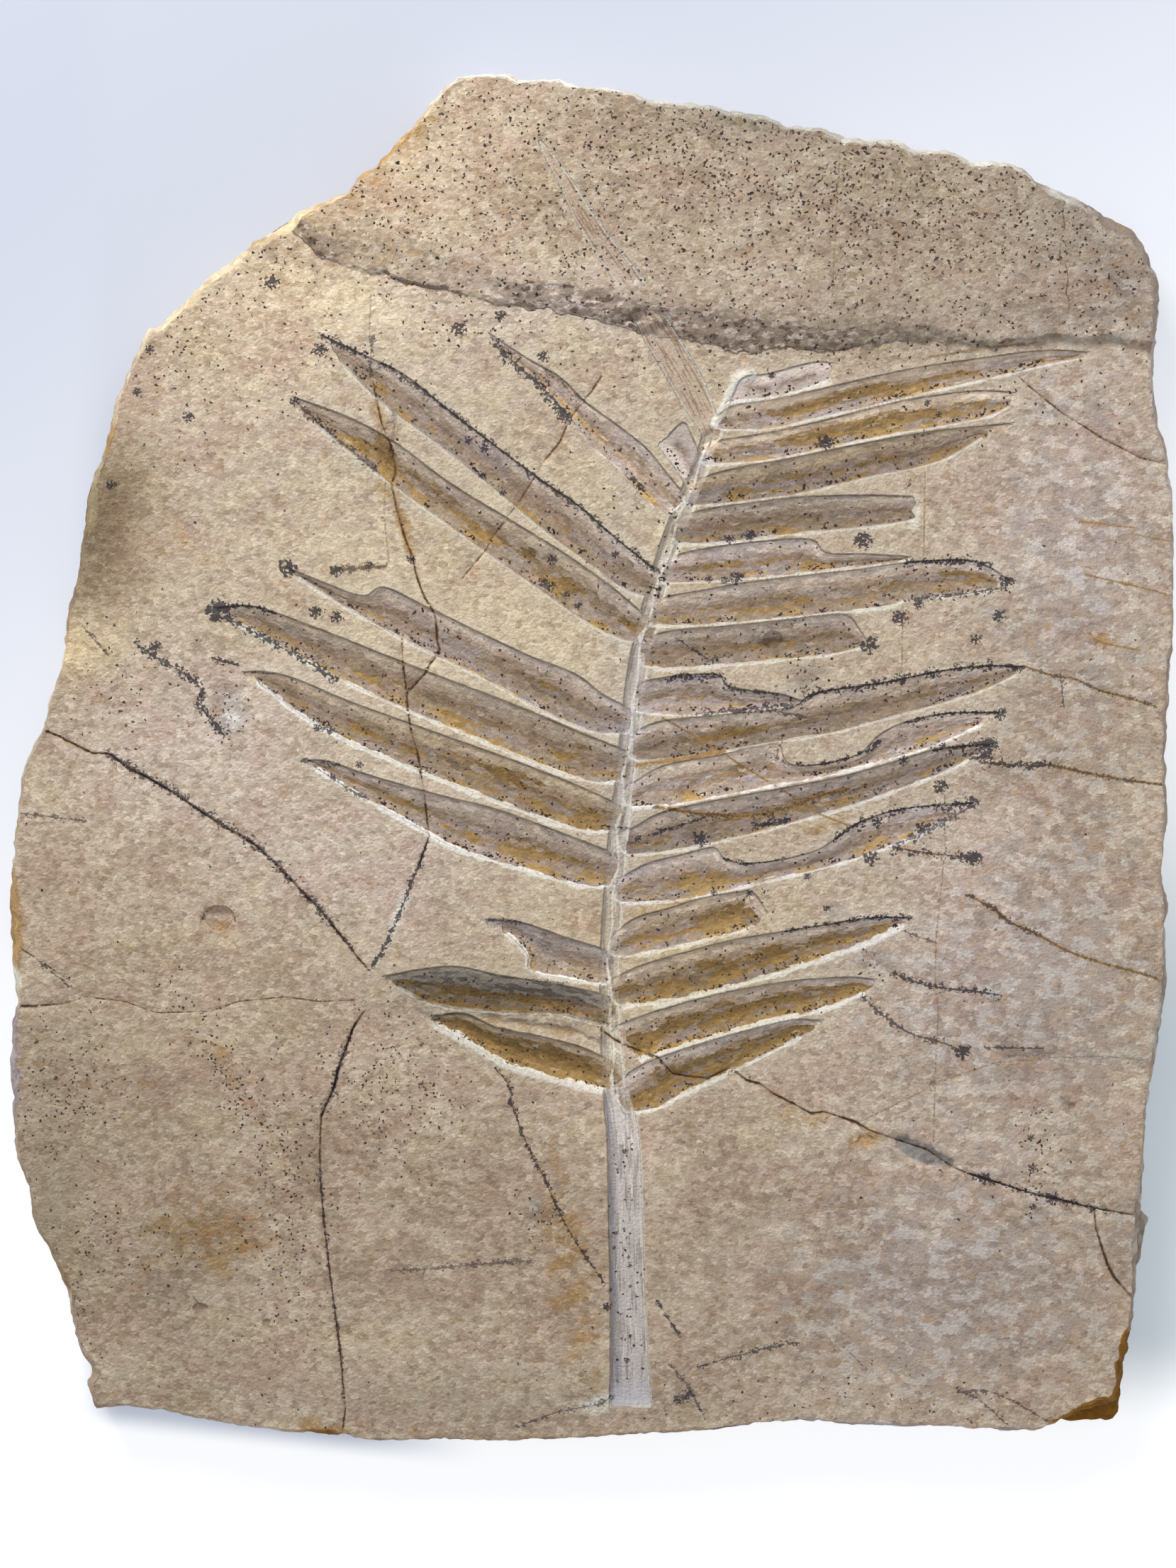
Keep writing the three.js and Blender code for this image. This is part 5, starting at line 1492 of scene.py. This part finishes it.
def leafletTint(tree, position, tint, chip):
    # Pale lilac under the upper wall, olive brown in the middle as painted shade where the hollow is
    # deepest, and ochre lower down, in loose streaks.
    width, narrow = leafletLook["width"], leafletLook["streakWidth"]
    streaks = ribbons(tree, field(tree, "along"), field(tree, "across") * width,
                      leafletLook["streakLength"], narrow)
    spot = streaks["Middle"]
    flat = stretched(spot, (0.4, 0.8, 1.0))
    cloud = cloudNoise(flat, leafletLook["cloudSize"], 2.0, 0.62)
    drift = cloudNoise(flat, leafletLook["driftSize"], 1.0, 0.6)
    hues = addNode(tree, "ShaderNodeTexNoise",
                   {"Vector": flat, "Scale": 0.36, "Detail": 1.0, "Roughness": 0.62})
    hues = channelsOf(hues["Color"])
    # the chips' shake moves everything a little down
    across = partsOf(spot)[1] * (narrow / width) - 0.05
    wander = across + (cloud - 0.5) * leafletLook["wander"]
    floor = ramp(wander, faceFinish["floor"])
    floor = blendColour(spread(hues[0], 0.52, 0.56, 0.0, leafletLook["pinkShare"]), floor,
                        faceFinish["pinkFloor"])
    floor = blendColour(spread(hues[1], 0.54, 0.58, 0.0, leafletLook["lilacShare"]), floor,
                        faceFinish["lilacFloor"])
    amount = field(tree, "rusty")
    rusty = spread(drift * 0.3 + cloud * 0.25 + hues[2] + amount * 0.22, 0.95, 1.01)
    rusty *= spread(wander + amount * 0.25, 0.5, 0.68)
    floor = blendColour(rusty * leafletLook["goldShare"], floor, ramp(wander, faceFinish["gold"]))
    floor = blendColour(spread(streaks["Tone"], 0.965, 0.985, 0.0, 0.4), floor, faceFinish["fleck"])
    shading = cloudNoise(spot, leafletLook["cloudSize"], 2.0, 0.6)
    floor = scaled(floor, spread(shading, 0.3, 0.7, *leafletLook["cloudy"]))
    floor = scaled(floor, spread(chip["Tone"], 0.0, 1.0, *leafletLook["chipped"]))
    # the wide upper wall of one leaflet is greyed as painted shade, broken up by a cloud
    banded = field(tree, "banded") * spread(across, 0.5, 0.42)
    bandTint = blendColour(spread(cloud, 0.42, 0.56), leafletLook["bandDark"], leafletLook["bandPale"])
    floor = blendColour(banded, floor, bandTint)
    inside = spread(field(tree, "leafEdge"), 0.0, 0.3)
    faint = field(tree, "faint")
    floor = blendColour(faint * 0.85, floor, faceFinish["faintFloor"])
    tint = blendColour(inside * spread(faint, 0.0, 1.0, 1.0, 0.7), tint, floor)
    # between the hollows the stone is creamier
    ridge = spread(field(tree, "leafEdge"), -5.0, -0.8) * spread(field(tree, "leafEdge"), 0.1, -0.3)
    ridge *= spread(chip["Tone"], 0.0, 1.0, 0.2, 0.6)
    tint = blendColour(ridge, tint, faceFinish["ridgeCream"])
    # the wall at the lower edge is bare pale calcite, brightened further as a painted highlight since it
    # faces the light, and the upper edge, which faces away, gets a fine dark line of painted shade
    fine = cloudNoise(position, 1.3, 2.0, 0.6)
    broad = cloudNoise(position, 6.0, 2.0, 0.6)
    wide = field(tree, "white") * spread(broad, 0.35, 0.65, 0.3, 1.0)
    lower = field(tree, "lowerGap") + (fine - 0.5) * 0.9
    inner = wide * spread(field(tree, "leafEdge"), -0.1, 0.1, 1.3, 0.75)
    rim = spread(inner - lower, -0.05, 0.2)
    rim *= spread(field(tree, "leafEdge"), -1.8, -0.6)
    rim *= spread(field(tree, "stemGap"), 1.5, 0.5)
    rim *= spread(field(tree, "white"), 0.5, 1.5, 0.65, 1.25)
    rim = calc("MULTIPLY", rim, spread(fine, 0.35, 0.55, 0.45, 0.95), clamp=True)
    tint = blendColour(rim, tint, faceFinish["calcite"])
    upper = field(tree, "upperGap") + (fine - 0.5) * 0.5
    line = spread(upper, 0.3, 0.1) * spread(field(tree, "leafEdge"), -0.5, -0.1)
    line *= spread(broad, 0.38, 0.62, 0.05, 0.5)
    line *= spread(faint, 0.0, 1.0, 1.0, 0.4)
    return blendColour(line, tint, faceFinish["line"])


stemLook = {
    "streakLength": 5.0, "streakWidth": 0.45, "cloudSize": 2.2,
    "stalkTop": (103.0, 96.0), "foot": (14.0, 8.0),  # how far up the stem they fade
}


def stemTint(tree, position, tint):
    # Fine upright streaks; the leaf's stalk below is paler, and its tip above is pale with brown threads.
    across, along, gap = field(tree, "stemAcross"), field(tree, "stemAlong"), field(tree, "stemGap")
    isTip = field(tree, "stemTip")
    stalk = spread(along, *stemLook["stalkTop"]) * spread(isTip, 0.6, 0.4)
    streaks = ribbons(tree, along, across, stemLook["streakLength"], stemLook["streakWidth"], 3.0)
    cloud = cloudNoise(streaks["Middle"], stemLook["cloudSize"], 2.0, 0.6)
    fine = cloudNoise(position, 1.3, 2.0, 0.6)
    foot = spread(along + cloud * 8.0, *stemLook["foot"]) * stalk
    floor = blendColour(stalk, faceFinish["stemPale"], faceFinish["stemLilac"])
    floor = blendColour(spread(cloud, 0.5, 0.4, 0.0, 0.8), floor, faceFinish["stemDark"])
    floor = blendColour(spread(streaks["Tone"], 0.88, 0.94, 0.0, 0.5), floor, faceFinish["stemShadow"])
    floor = blendColour(spread(streaks["Tone"], 0.12, 0.06, 0.0, 0.6), floor, faceFinish["calcite"])
    shadow = spread(across, 1.8, 3.8) * spread(cloud, 0.4, 0.52, 0.15, 0.85)
    floor = blendColour(shadow * stalk, floor, faceFinish["stemShadow"])
    floor = blendColour(foot * 0.75, floor, faceFinish["stalkEnd"])
    tipFloor = blendColour(spread(streaks["Tone"], 0.7, 0.8), faceFinish["tipPale"],
                           faceFinish["tipStreak"])
    floor = blendColour(isTip, floor, tipFloor)
    inLeaf = spread(field(tree, "leafEdge"), -0.4, 1.4)
    held = spread(stalk, 0.0, 1.0, 0.7, 0.9) - inLeaf * 0.45
    inside = spread(gap, -0.1, 0.5) * held
    tint = blendColour(inside, tint, floor)
    # a painted highlight along the stem's rim, strongest on the right wall, which faces the light
    rim = spread(gap, -0.5, -0.1) * spread(gap, 0.7, 0.3)
    rim *= spread(field(tree, "leafEdge"), 0.3, -0.4)
    rim *= spread(fine, 0.35, 0.5, 0.4, 1.0)
    sides = calc("MAXIMUM", spread(across, 0.5, -1.5, 0.15, 0.85), isTip * 0.6)
    tint = blendColour(rim * sides, tint, faceFinish["calcite"])
    # seams
    ragged = (fine - 0.5) * 0.6
    onStem = spread(gap, -1.2, 0.0)
    pale = spread(field(tree, "seamGap") + ragged, 0.5, 0.2) * onStem
    tint = blendColour(pale * spread(isTip, 0.0, 1.0, 0.7, 0.2), tint, faceFinish["calcite"])
    dark = spread(field(tree, "shadeGap") + ragged, 0.42, 0.15) * onStem
    tint = blendColour(dark * 0.5, tint, faceFinish["line"])
    twig = field(tree, "twigGap") + fine
    return blendColour(spread(twig, 2.2, 1.4) * 0.9, tint, faceFinish["calcite"])


crumbLook = {"lying": (0.6, 1.0, 1.0), "turn": 0.2, "splinterSize": 0.95, "cloudSize": 2.2}


def crumbTint(tree, position, tint):
    # Broken stone on the step: painted shade in its hollows, pale on its splinters. The slope and the
    # crevice at its foot get painted shade too.
    flat = stretched(position, crumbLook["lying"], crumbLook["turn"])
    splinters = chipsAt(flat, crumbLook["splinterSize"])
    cloud = cloudNoise(splinters["Middle"], crumbLook["cloudSize"], 2.0, 0.6)
    level = cloud * 0.7 + splinters["Tone"] * 0.3
    rubble = blendColour(spread(level, 0.37, 0.43), faceFinish["crumbDark"], faceFinish["crumbMiddle"])
    rubble = blendColour(spread(level, 0.58, 0.64), rubble, faceFinish["crumbPale"])
    crumbled = field(tree, "crumbled")
    amount = crumbled + (cloud - 0.5) * 1.2
    mask = spread(amount, 0.3, 0.45) * spread(crumbled, 0.05, 0.2)
    tint = blendColour(mask * 0.85, tint, rubble)
    # painted shade on the step's slope and in the crevice at its foot
    dimmed = 1.0 - field(tree, "slopeDark") * 0.3
    crevice = field(tree, "crevice") + (cloud - 0.5) * 0.8
    crevice = spread(crevice, 0.35, 0.6) * spread(field(tree, "crevice"), 0.1, 0.3)
    return blendColour(crevice * 0.75, scaled(tint, dimmed), faceFinish["crevice"])


markLook = {
    "chipSize": 0.9, "jagSize": 1.1, "thinningSize": 7.0, "clusterSize": 9.0,
    "speckSizes": (0.56, 0.62),  # at the front and at the back
    "inFloors": 0.17, "tinyShare": 0.1, "tinySize": 0.5, "tinyShift": (37.0, 11.0, 0.0),
    "black": 0.88,
}


def darkMarks(tree, position, tint):
    # Cracks, hairlines, dendrites and specks.
    fine = cloudNoise(position, markLook["jagSize"], 2.0, 0.6)
    broken = chipsAt(position, markLook["chipSize"])
    jag = (fine - 0.5) * 0.6 + (broken["Tone"] - 0.35) * 0.5
    thinner = spread(cloudNoise(position, markLook["thinningSize"], 2.0, 0.5), 0.4, 0.6, -0.08, 0.3)
    crack = field(tree, "crackGap") + jag + thinner
    crackTint = blendColour(field(tree, "crackRust"), faceFinish["crack"], faceFinish["rustyCrack"])
    tint = blendColour(spread(crack, 1.1, 0.5) * 0.3, tint, faceFinish["rustyCrack"])
    tint = blendColour(spread(crack, 0.52, 0.3) * 0.9, tint, crackTint)
    hair = spread(field(tree, "hairGap"), 0.4, 0.1) * spread(fine, 0.38, 0.55)
    tint = blendColour(hair * 0.7, tint, faceFinish["olive"])
    gap = field(tree, "fringeGap")
    rust = field(tree, "fringeRust") * spread(gap + fine * 0.8, 1.3, 0.5)
    tint = blendColour(calc("MULTIPLY", rust, 0.9, clamp=True), tint, faceFinish["rust"])
    fringe = useGroup(dendriteFringe,
                      {"Position": position, "Distance": gap,
                       "Black": field(tree, "fringeBlack")})["Mask"]
    bush = useGroup(dendriteBush,
                    {"Offset": field(tree, "bush", "Vector"), "Distance": field(tree, "bushGap")})["Mask"]
    density = field(tree, "specks")
    # inside the hollows dots gather in clusters along the lower edge
    lower = field(tree, "lowerGap")
    clusters = cloudNoise(position, markLook["clusterSize"], 2.0, 0.6)
    nearLower = spread(lower, 0.3, 0.9) * spread(lower, 3.0, 1.4)
    nearLower *= spread(clusters, 0.45, 0.62, 0.1, 2.6)
    nearLower *= spread(field(tree, "across"), 0.45, 0.6)
    inFloor = spread(field(tree, "leafEdge"), 0.2, 0.8)
    wanted = (nearLower + markLook["inFloors"]) * inFloor
    size = spread(partsOf(position)[1], -60.0, 140.0, *markLook["speckSizes"])
    small = specksAt(position, calc("MAXIMUM", density, wanted), size)
    tiny = specksAt(added(position, markLook["tinyShift"]), density * markLook["tinyShare"],
                    markLook["tinySize"])
    dots = calc("MAXIMUM", small, tiny)
    tint = blendColour(dots * spread(clusters, 0.35, 0.65, 0.88, 1.0), tint, faceFinish["speck"])
    black = calc("MAXIMUM", fringe, bush)
    return blendColour(black * markLook["black"], tint, faceFinish["dendrite"])


def makeFaceStone():
    material, tree, shader, position = startMaterial("splitLimestone", faceFinish["roughness"])
    chip = chipsAt(stretched(position, faceFinish["lying"]), faceFinish["chipSize"])
    tint, layers = layeredStone(tree, chip, faceFinish["pale"], faceFinish["middle"],
                                faceFinish["patchSize"])
    tint = crumbTint(tree, position, tint)
    tint = leafletTint(tree, position, tint, chip)
    tint = stemTint(tree, position, tint)
    tint = darkMarks(tree, position, scaled(warmCast(tree, tint), field(tree, "tone")))
    plain = spread(calc("MAXIMUM", field(tree, "leafEdge"), field(tree, "stemGap")), -0.4, 0.4, 1.0, 0.3)
    rough = plain * spread(field(tree, "crumbled"), 0.1, 0.5, 1.0, 1.9)
    height = layers * rough + gritAt(position, faceFinish["gritSize"]) * faceFinish["gritHeight"]
    finishMaterial(tree, shader, tint, height, faceFinish["bump"])
    return material


edgeFinish = {
    "roughness": 0.93, "layering": (0.4, 0.4, 1.6), "chipSize": 1.0, "patchSize": 3.0, "gritSize": 0.9,
    "pale": shade(204, 191, 171), "middle": shade(176, 161, 142),
    "layerHeight": 1.6, "gritHeight": 0.4, "bump": 0.8,
}


def makeEdgeStone():
    look = edgeFinish
    material, tree, shader, position = startMaterial("brokenLimestone", look["roughness"])
    chip = chipsAt(stretched(position, look["layering"]), look["chipSize"], chipsAllRound)
    tint, layers = layeredStone(tree, chip, look["pale"], look["middle"], look["patchSize"])
    height = layers * look["layerHeight"] + gritAt(position, look["gritSize"]) * look["gritHeight"]
    toned = scaled(warmCast(tree, tint), field(tree, "tone"))
    finishMaterial(tree, shader, toned, height, look["bump"])
    return material


backFinish = {
    "roughness": 0.93, "chipSize": 2.0, "patchSize": 7.0, "gritSize": 1.4,
    "pale": shade(192, 177, 155), "middle": shade(168, 152, 131),
    "layerHeight": 1.6, "gritHeight": 0.4, "bump": 0.8,
}


def makeBackStone():
    look = backFinish
    material, tree, shader, position = startMaterial("restingLimestone", look["roughness"])
    chip = chipsAt(position, look["chipSize"])
    tint, layers = layeredStone(tree, chip, look["pale"], look["middle"], look["patchSize"])
    height = layers * look["layerHeight"] + gritAt(position, look["gritSize"]) * look["gritHeight"]
    finishMaterial(tree, shader, tint, height, look["bump"])
    return material


# Relief by geometry nodes

stoneRelief = {
    "Lump Size": 9.0, "Lump Height": 0.55, "Grit Size": 2.6, "Grit Height": 0.2, "Seed": 4.0,
}


def makeReliefTree(finishes):
    amounts = [(label, number, value) for label, value in stoneRelief.items()]
    tree, given, result = newGroup("stoneRelief", [("Geometry", shape, None)] + amounts,
                                   [("Geometry", shape)],
                                   "GeometryNodeTree")
    place = addNode(tree, "GeometryNodeInputPosition")[0]
    position = scaled(place, 1 / mm)
    heights = []
    for label in ("Lump", "Grit"):
        cloud = addNode(tree, "ShaderNodeTexNoise",
                        {"Vector": position, "W": given["Seed"], "Scale": 1.0 / given[label + " Size"],
                         "Detail": 2.0, "Roughness": 0.55}, noise_dimensions="4D")[0]
        heights.append((cloud - 0.5) * given[label + " Height"])
    amount = addNode(tree, "GeometryNodeInputNamedAttribute", {"Name": "relief"}, data_type="FLOAT")[0]
    height = (heights[0] + heights[1]) * amount * (2 * mm)
    normal = addNode(tree, "GeometryNodeInputNormal")[0]
    offset = scaled(normal, height)
    moved = addNode(tree, "GeometryNodeSetPosition", {"Geometry": given["Geometry"], "Offset": offset})[0]
    smooth = addNode(tree, "GeometryNodeSetShadeSmooth", {"Geometry": moved, "Shade Smooth": True})[0]
    stage = addNode(tree, "GeometryNodeRealizeInstances", {"Geometry": smooth})[0]
    region = addNode(tree, "GeometryNodeInputNamedAttribute", {"Name": "region"}, data_type="INT")[0]
    for code, finish in enumerate(finishes):
        chosen = addNode(tree, "FunctionNodeCompare", {"A": region, "B": code}, data_type="INT",
                         operation="EQUAL")[0]
        stage = addNode(tree, "GeometryNodeSetMaterial",
                        {"Geometry": stage, "Selection": chosen, "Material": finish})[0]
    connect(stage, result[0])
    return tree


def buildSlab():
    stone = bpy.data.objects.new(slabName + "_stone", makeSlabMesh())
    bpy.context.scene.collection.objects.link(stone)
    finishes = [makeFaceStone(), makeEdgeStone(), makeBackStone()]
    for finish in finishes:
        stone.data.materials.append(finish)
    modifier = stone.modifiers.new("relief", "NODES")
    modifier.node_group = makeReliefTree(finishes)
    for item in modifier.node_group.interface.items_tree:
        if item.in_out == "INPUT" and item.name in stoneRelief:
            modifier[item.identifier] = stoneRelief[item.name]
    evaluated = stone.evaluated_get(bpy.context.evaluated_depsgraph_get())
    plain = bpy.data.meshes.new_from_object(evaluated)
    stone.modifiers.clear()
    stone.data = plain
    plain.name = slabName + "_stone"
    plain.set_sharp_from_angle(angle=math.radians(50))
    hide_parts(slabName)
    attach(stone, "root")
    print("slab:", len(plain.polygons), "triangles,", [m.name for m in plain.materials])
    return stone


buildSlab()


# Floor, light and camera

studio = {
    "floorSize": 6.0,
    "frameTall": 486.6,  # what the camera sees, in millimetres at the leaf's face
    "frameMiddle": (-1.2, -9.0),
    "lens": 70.0,
    "sensor": 36.0,
    "floorGlow": 1.0,
    "floorRoughness": 0.9, "floorTint": shade(168, 168, 170),
    # the light that the floor gives off: at the front, at the back, and, darker as painted shadow, beside
    # and under the slab
    "front": shade(224, 226, 228), "back": shade(136, 146, 168), "beside": shade(141, 153, 161),
    "under": shade(140, 149, 168), "shadeShare": 0.95,
    "sky": (0.93, 0.96, 1.0, 1.0), "skyStrength": 0.5,
    # lamps: name, place, aim, size, power, tint
    "lamps": [("topLight", (-0.62, 1.3, 0.85), (0, 0, 0), (0.7, 0.45), 22, (1.0, 0.985, 0.96)),
              ("softFill", (0.2, -0.2, 1.7), (0, 0, 0), (1.6, 1.6), 3, (0.97, 0.98, 1.0))],
}


def makeFloor():
    half = studio["floorSize"] / 2
    mesh = bpy.data.meshes.new("floor")
    mesh.from_pydata([(-half, -half, 0), (half, -half, 0), (half, half, 0), (-half, half, 0)], [],
                     [(0, 1, 2, 3)])
    floor = bpy.data.objects.new("floor", mesh)
    bpy.context.scene.collection.objects.link(floor)
    material = bpy.data.materials.new("paleFloor")
    material.use_nodes = True
    tree = material.node_tree
    shader = tree.nodes["Principled BSDF"]
    shader.inputs["Roughness"].default_value = studio["floorRoughness"]
    parts = partsOf(addNode(tree, "ShaderNodeTexCoord")["Object"])
    share = spread(parts[0] * 0.5 - parts[1], -0.3, 0.14)
    shader.inputs["Base Color"].default_value = studio["floorTint"]
    # light of its own keeps the sheet bright in the slab's shadow
    glow = blendColour(share, studio["back"], studio["front"])
    # painted soft shadow beside the slab's lower right and under its lower left
    beside = spread(parts[0], 0.15, 0.17) * spread(parts[1], 0.04, -0.1)
    beside *= spread(parts[1], -0.212, -0.18)
    beside *= spread(parts[0], 0.23, 0.19)
    edge = (parts[0] + 0.15) * -0.11 - 0.203
    along = spread(parts[0], -0.03, -0.08) * spread(parts[0], -0.165, -0.148)
    under = spread(edge - parts[1], 0.01, 0.002) * along
    glow = blendColour(under * studio["shadeShare"], glow, studio["under"])
    glow = blendColour(beside * studio["shadeShare"], glow, studio["beside"])
    connect(glow, shader.inputs["Emission Color"])
    shader.inputs["Emission Strength"].default_value = studio["floorGlow"]
    mesh.materials.append(material)


def addLight(name, place, aim, size, power, tint):
    light = bpy.data.lights.new(name, "AREA")
    light.shape = "RECTANGLE"
    light.size, light.size_y = size
    light.energy = power
    light.color = tint
    lamp = bpy.data.objects.new(name, light)
    lamp.location = place
    lamp.rotation_euler = (Vector(aim) - Vector(place)).to_track_quat("-Z", "Y").to_euler()
    bpy.context.scene.collection.objects.link(lamp)


def makeCamera():
    data = bpy.data.cameras.new("camera")
    data.lens = studio["lens"]
    data.sensor_width = studio["sensor"]
    data.clip_end = 20
    camera = bpy.data.objects.new("camera", data)
    away = studio["frameTall"] * studio["lens"] / studio["sensor"]
    x, y = (studio["frameMiddle"][i] - drawingMiddle[i] for i in (0, 1))
    camera.location = (x * mm, y * mm, (slab["leafFace"] + away) * mm)
    bpy.context.scene.collection.objects.link(camera)
    bpy.context.scene.camera = camera


makeFloor()
for lamp in studio["lamps"]:
    addLight(*lamp)
world = bpy.data.worlds.new("studioWorld")
world.use_nodes = True
world.node_tree.nodes["Background"].inputs["Color"].default_value = studio["sky"]
world.node_tree.nodes["Background"].inputs["Strength"].default_value = studio["skyStrength"]
bpy.context.scene.world = world
bpy.context.scene.view_settings.view_transform = "Standard"
makeCamera()
print("stage set")
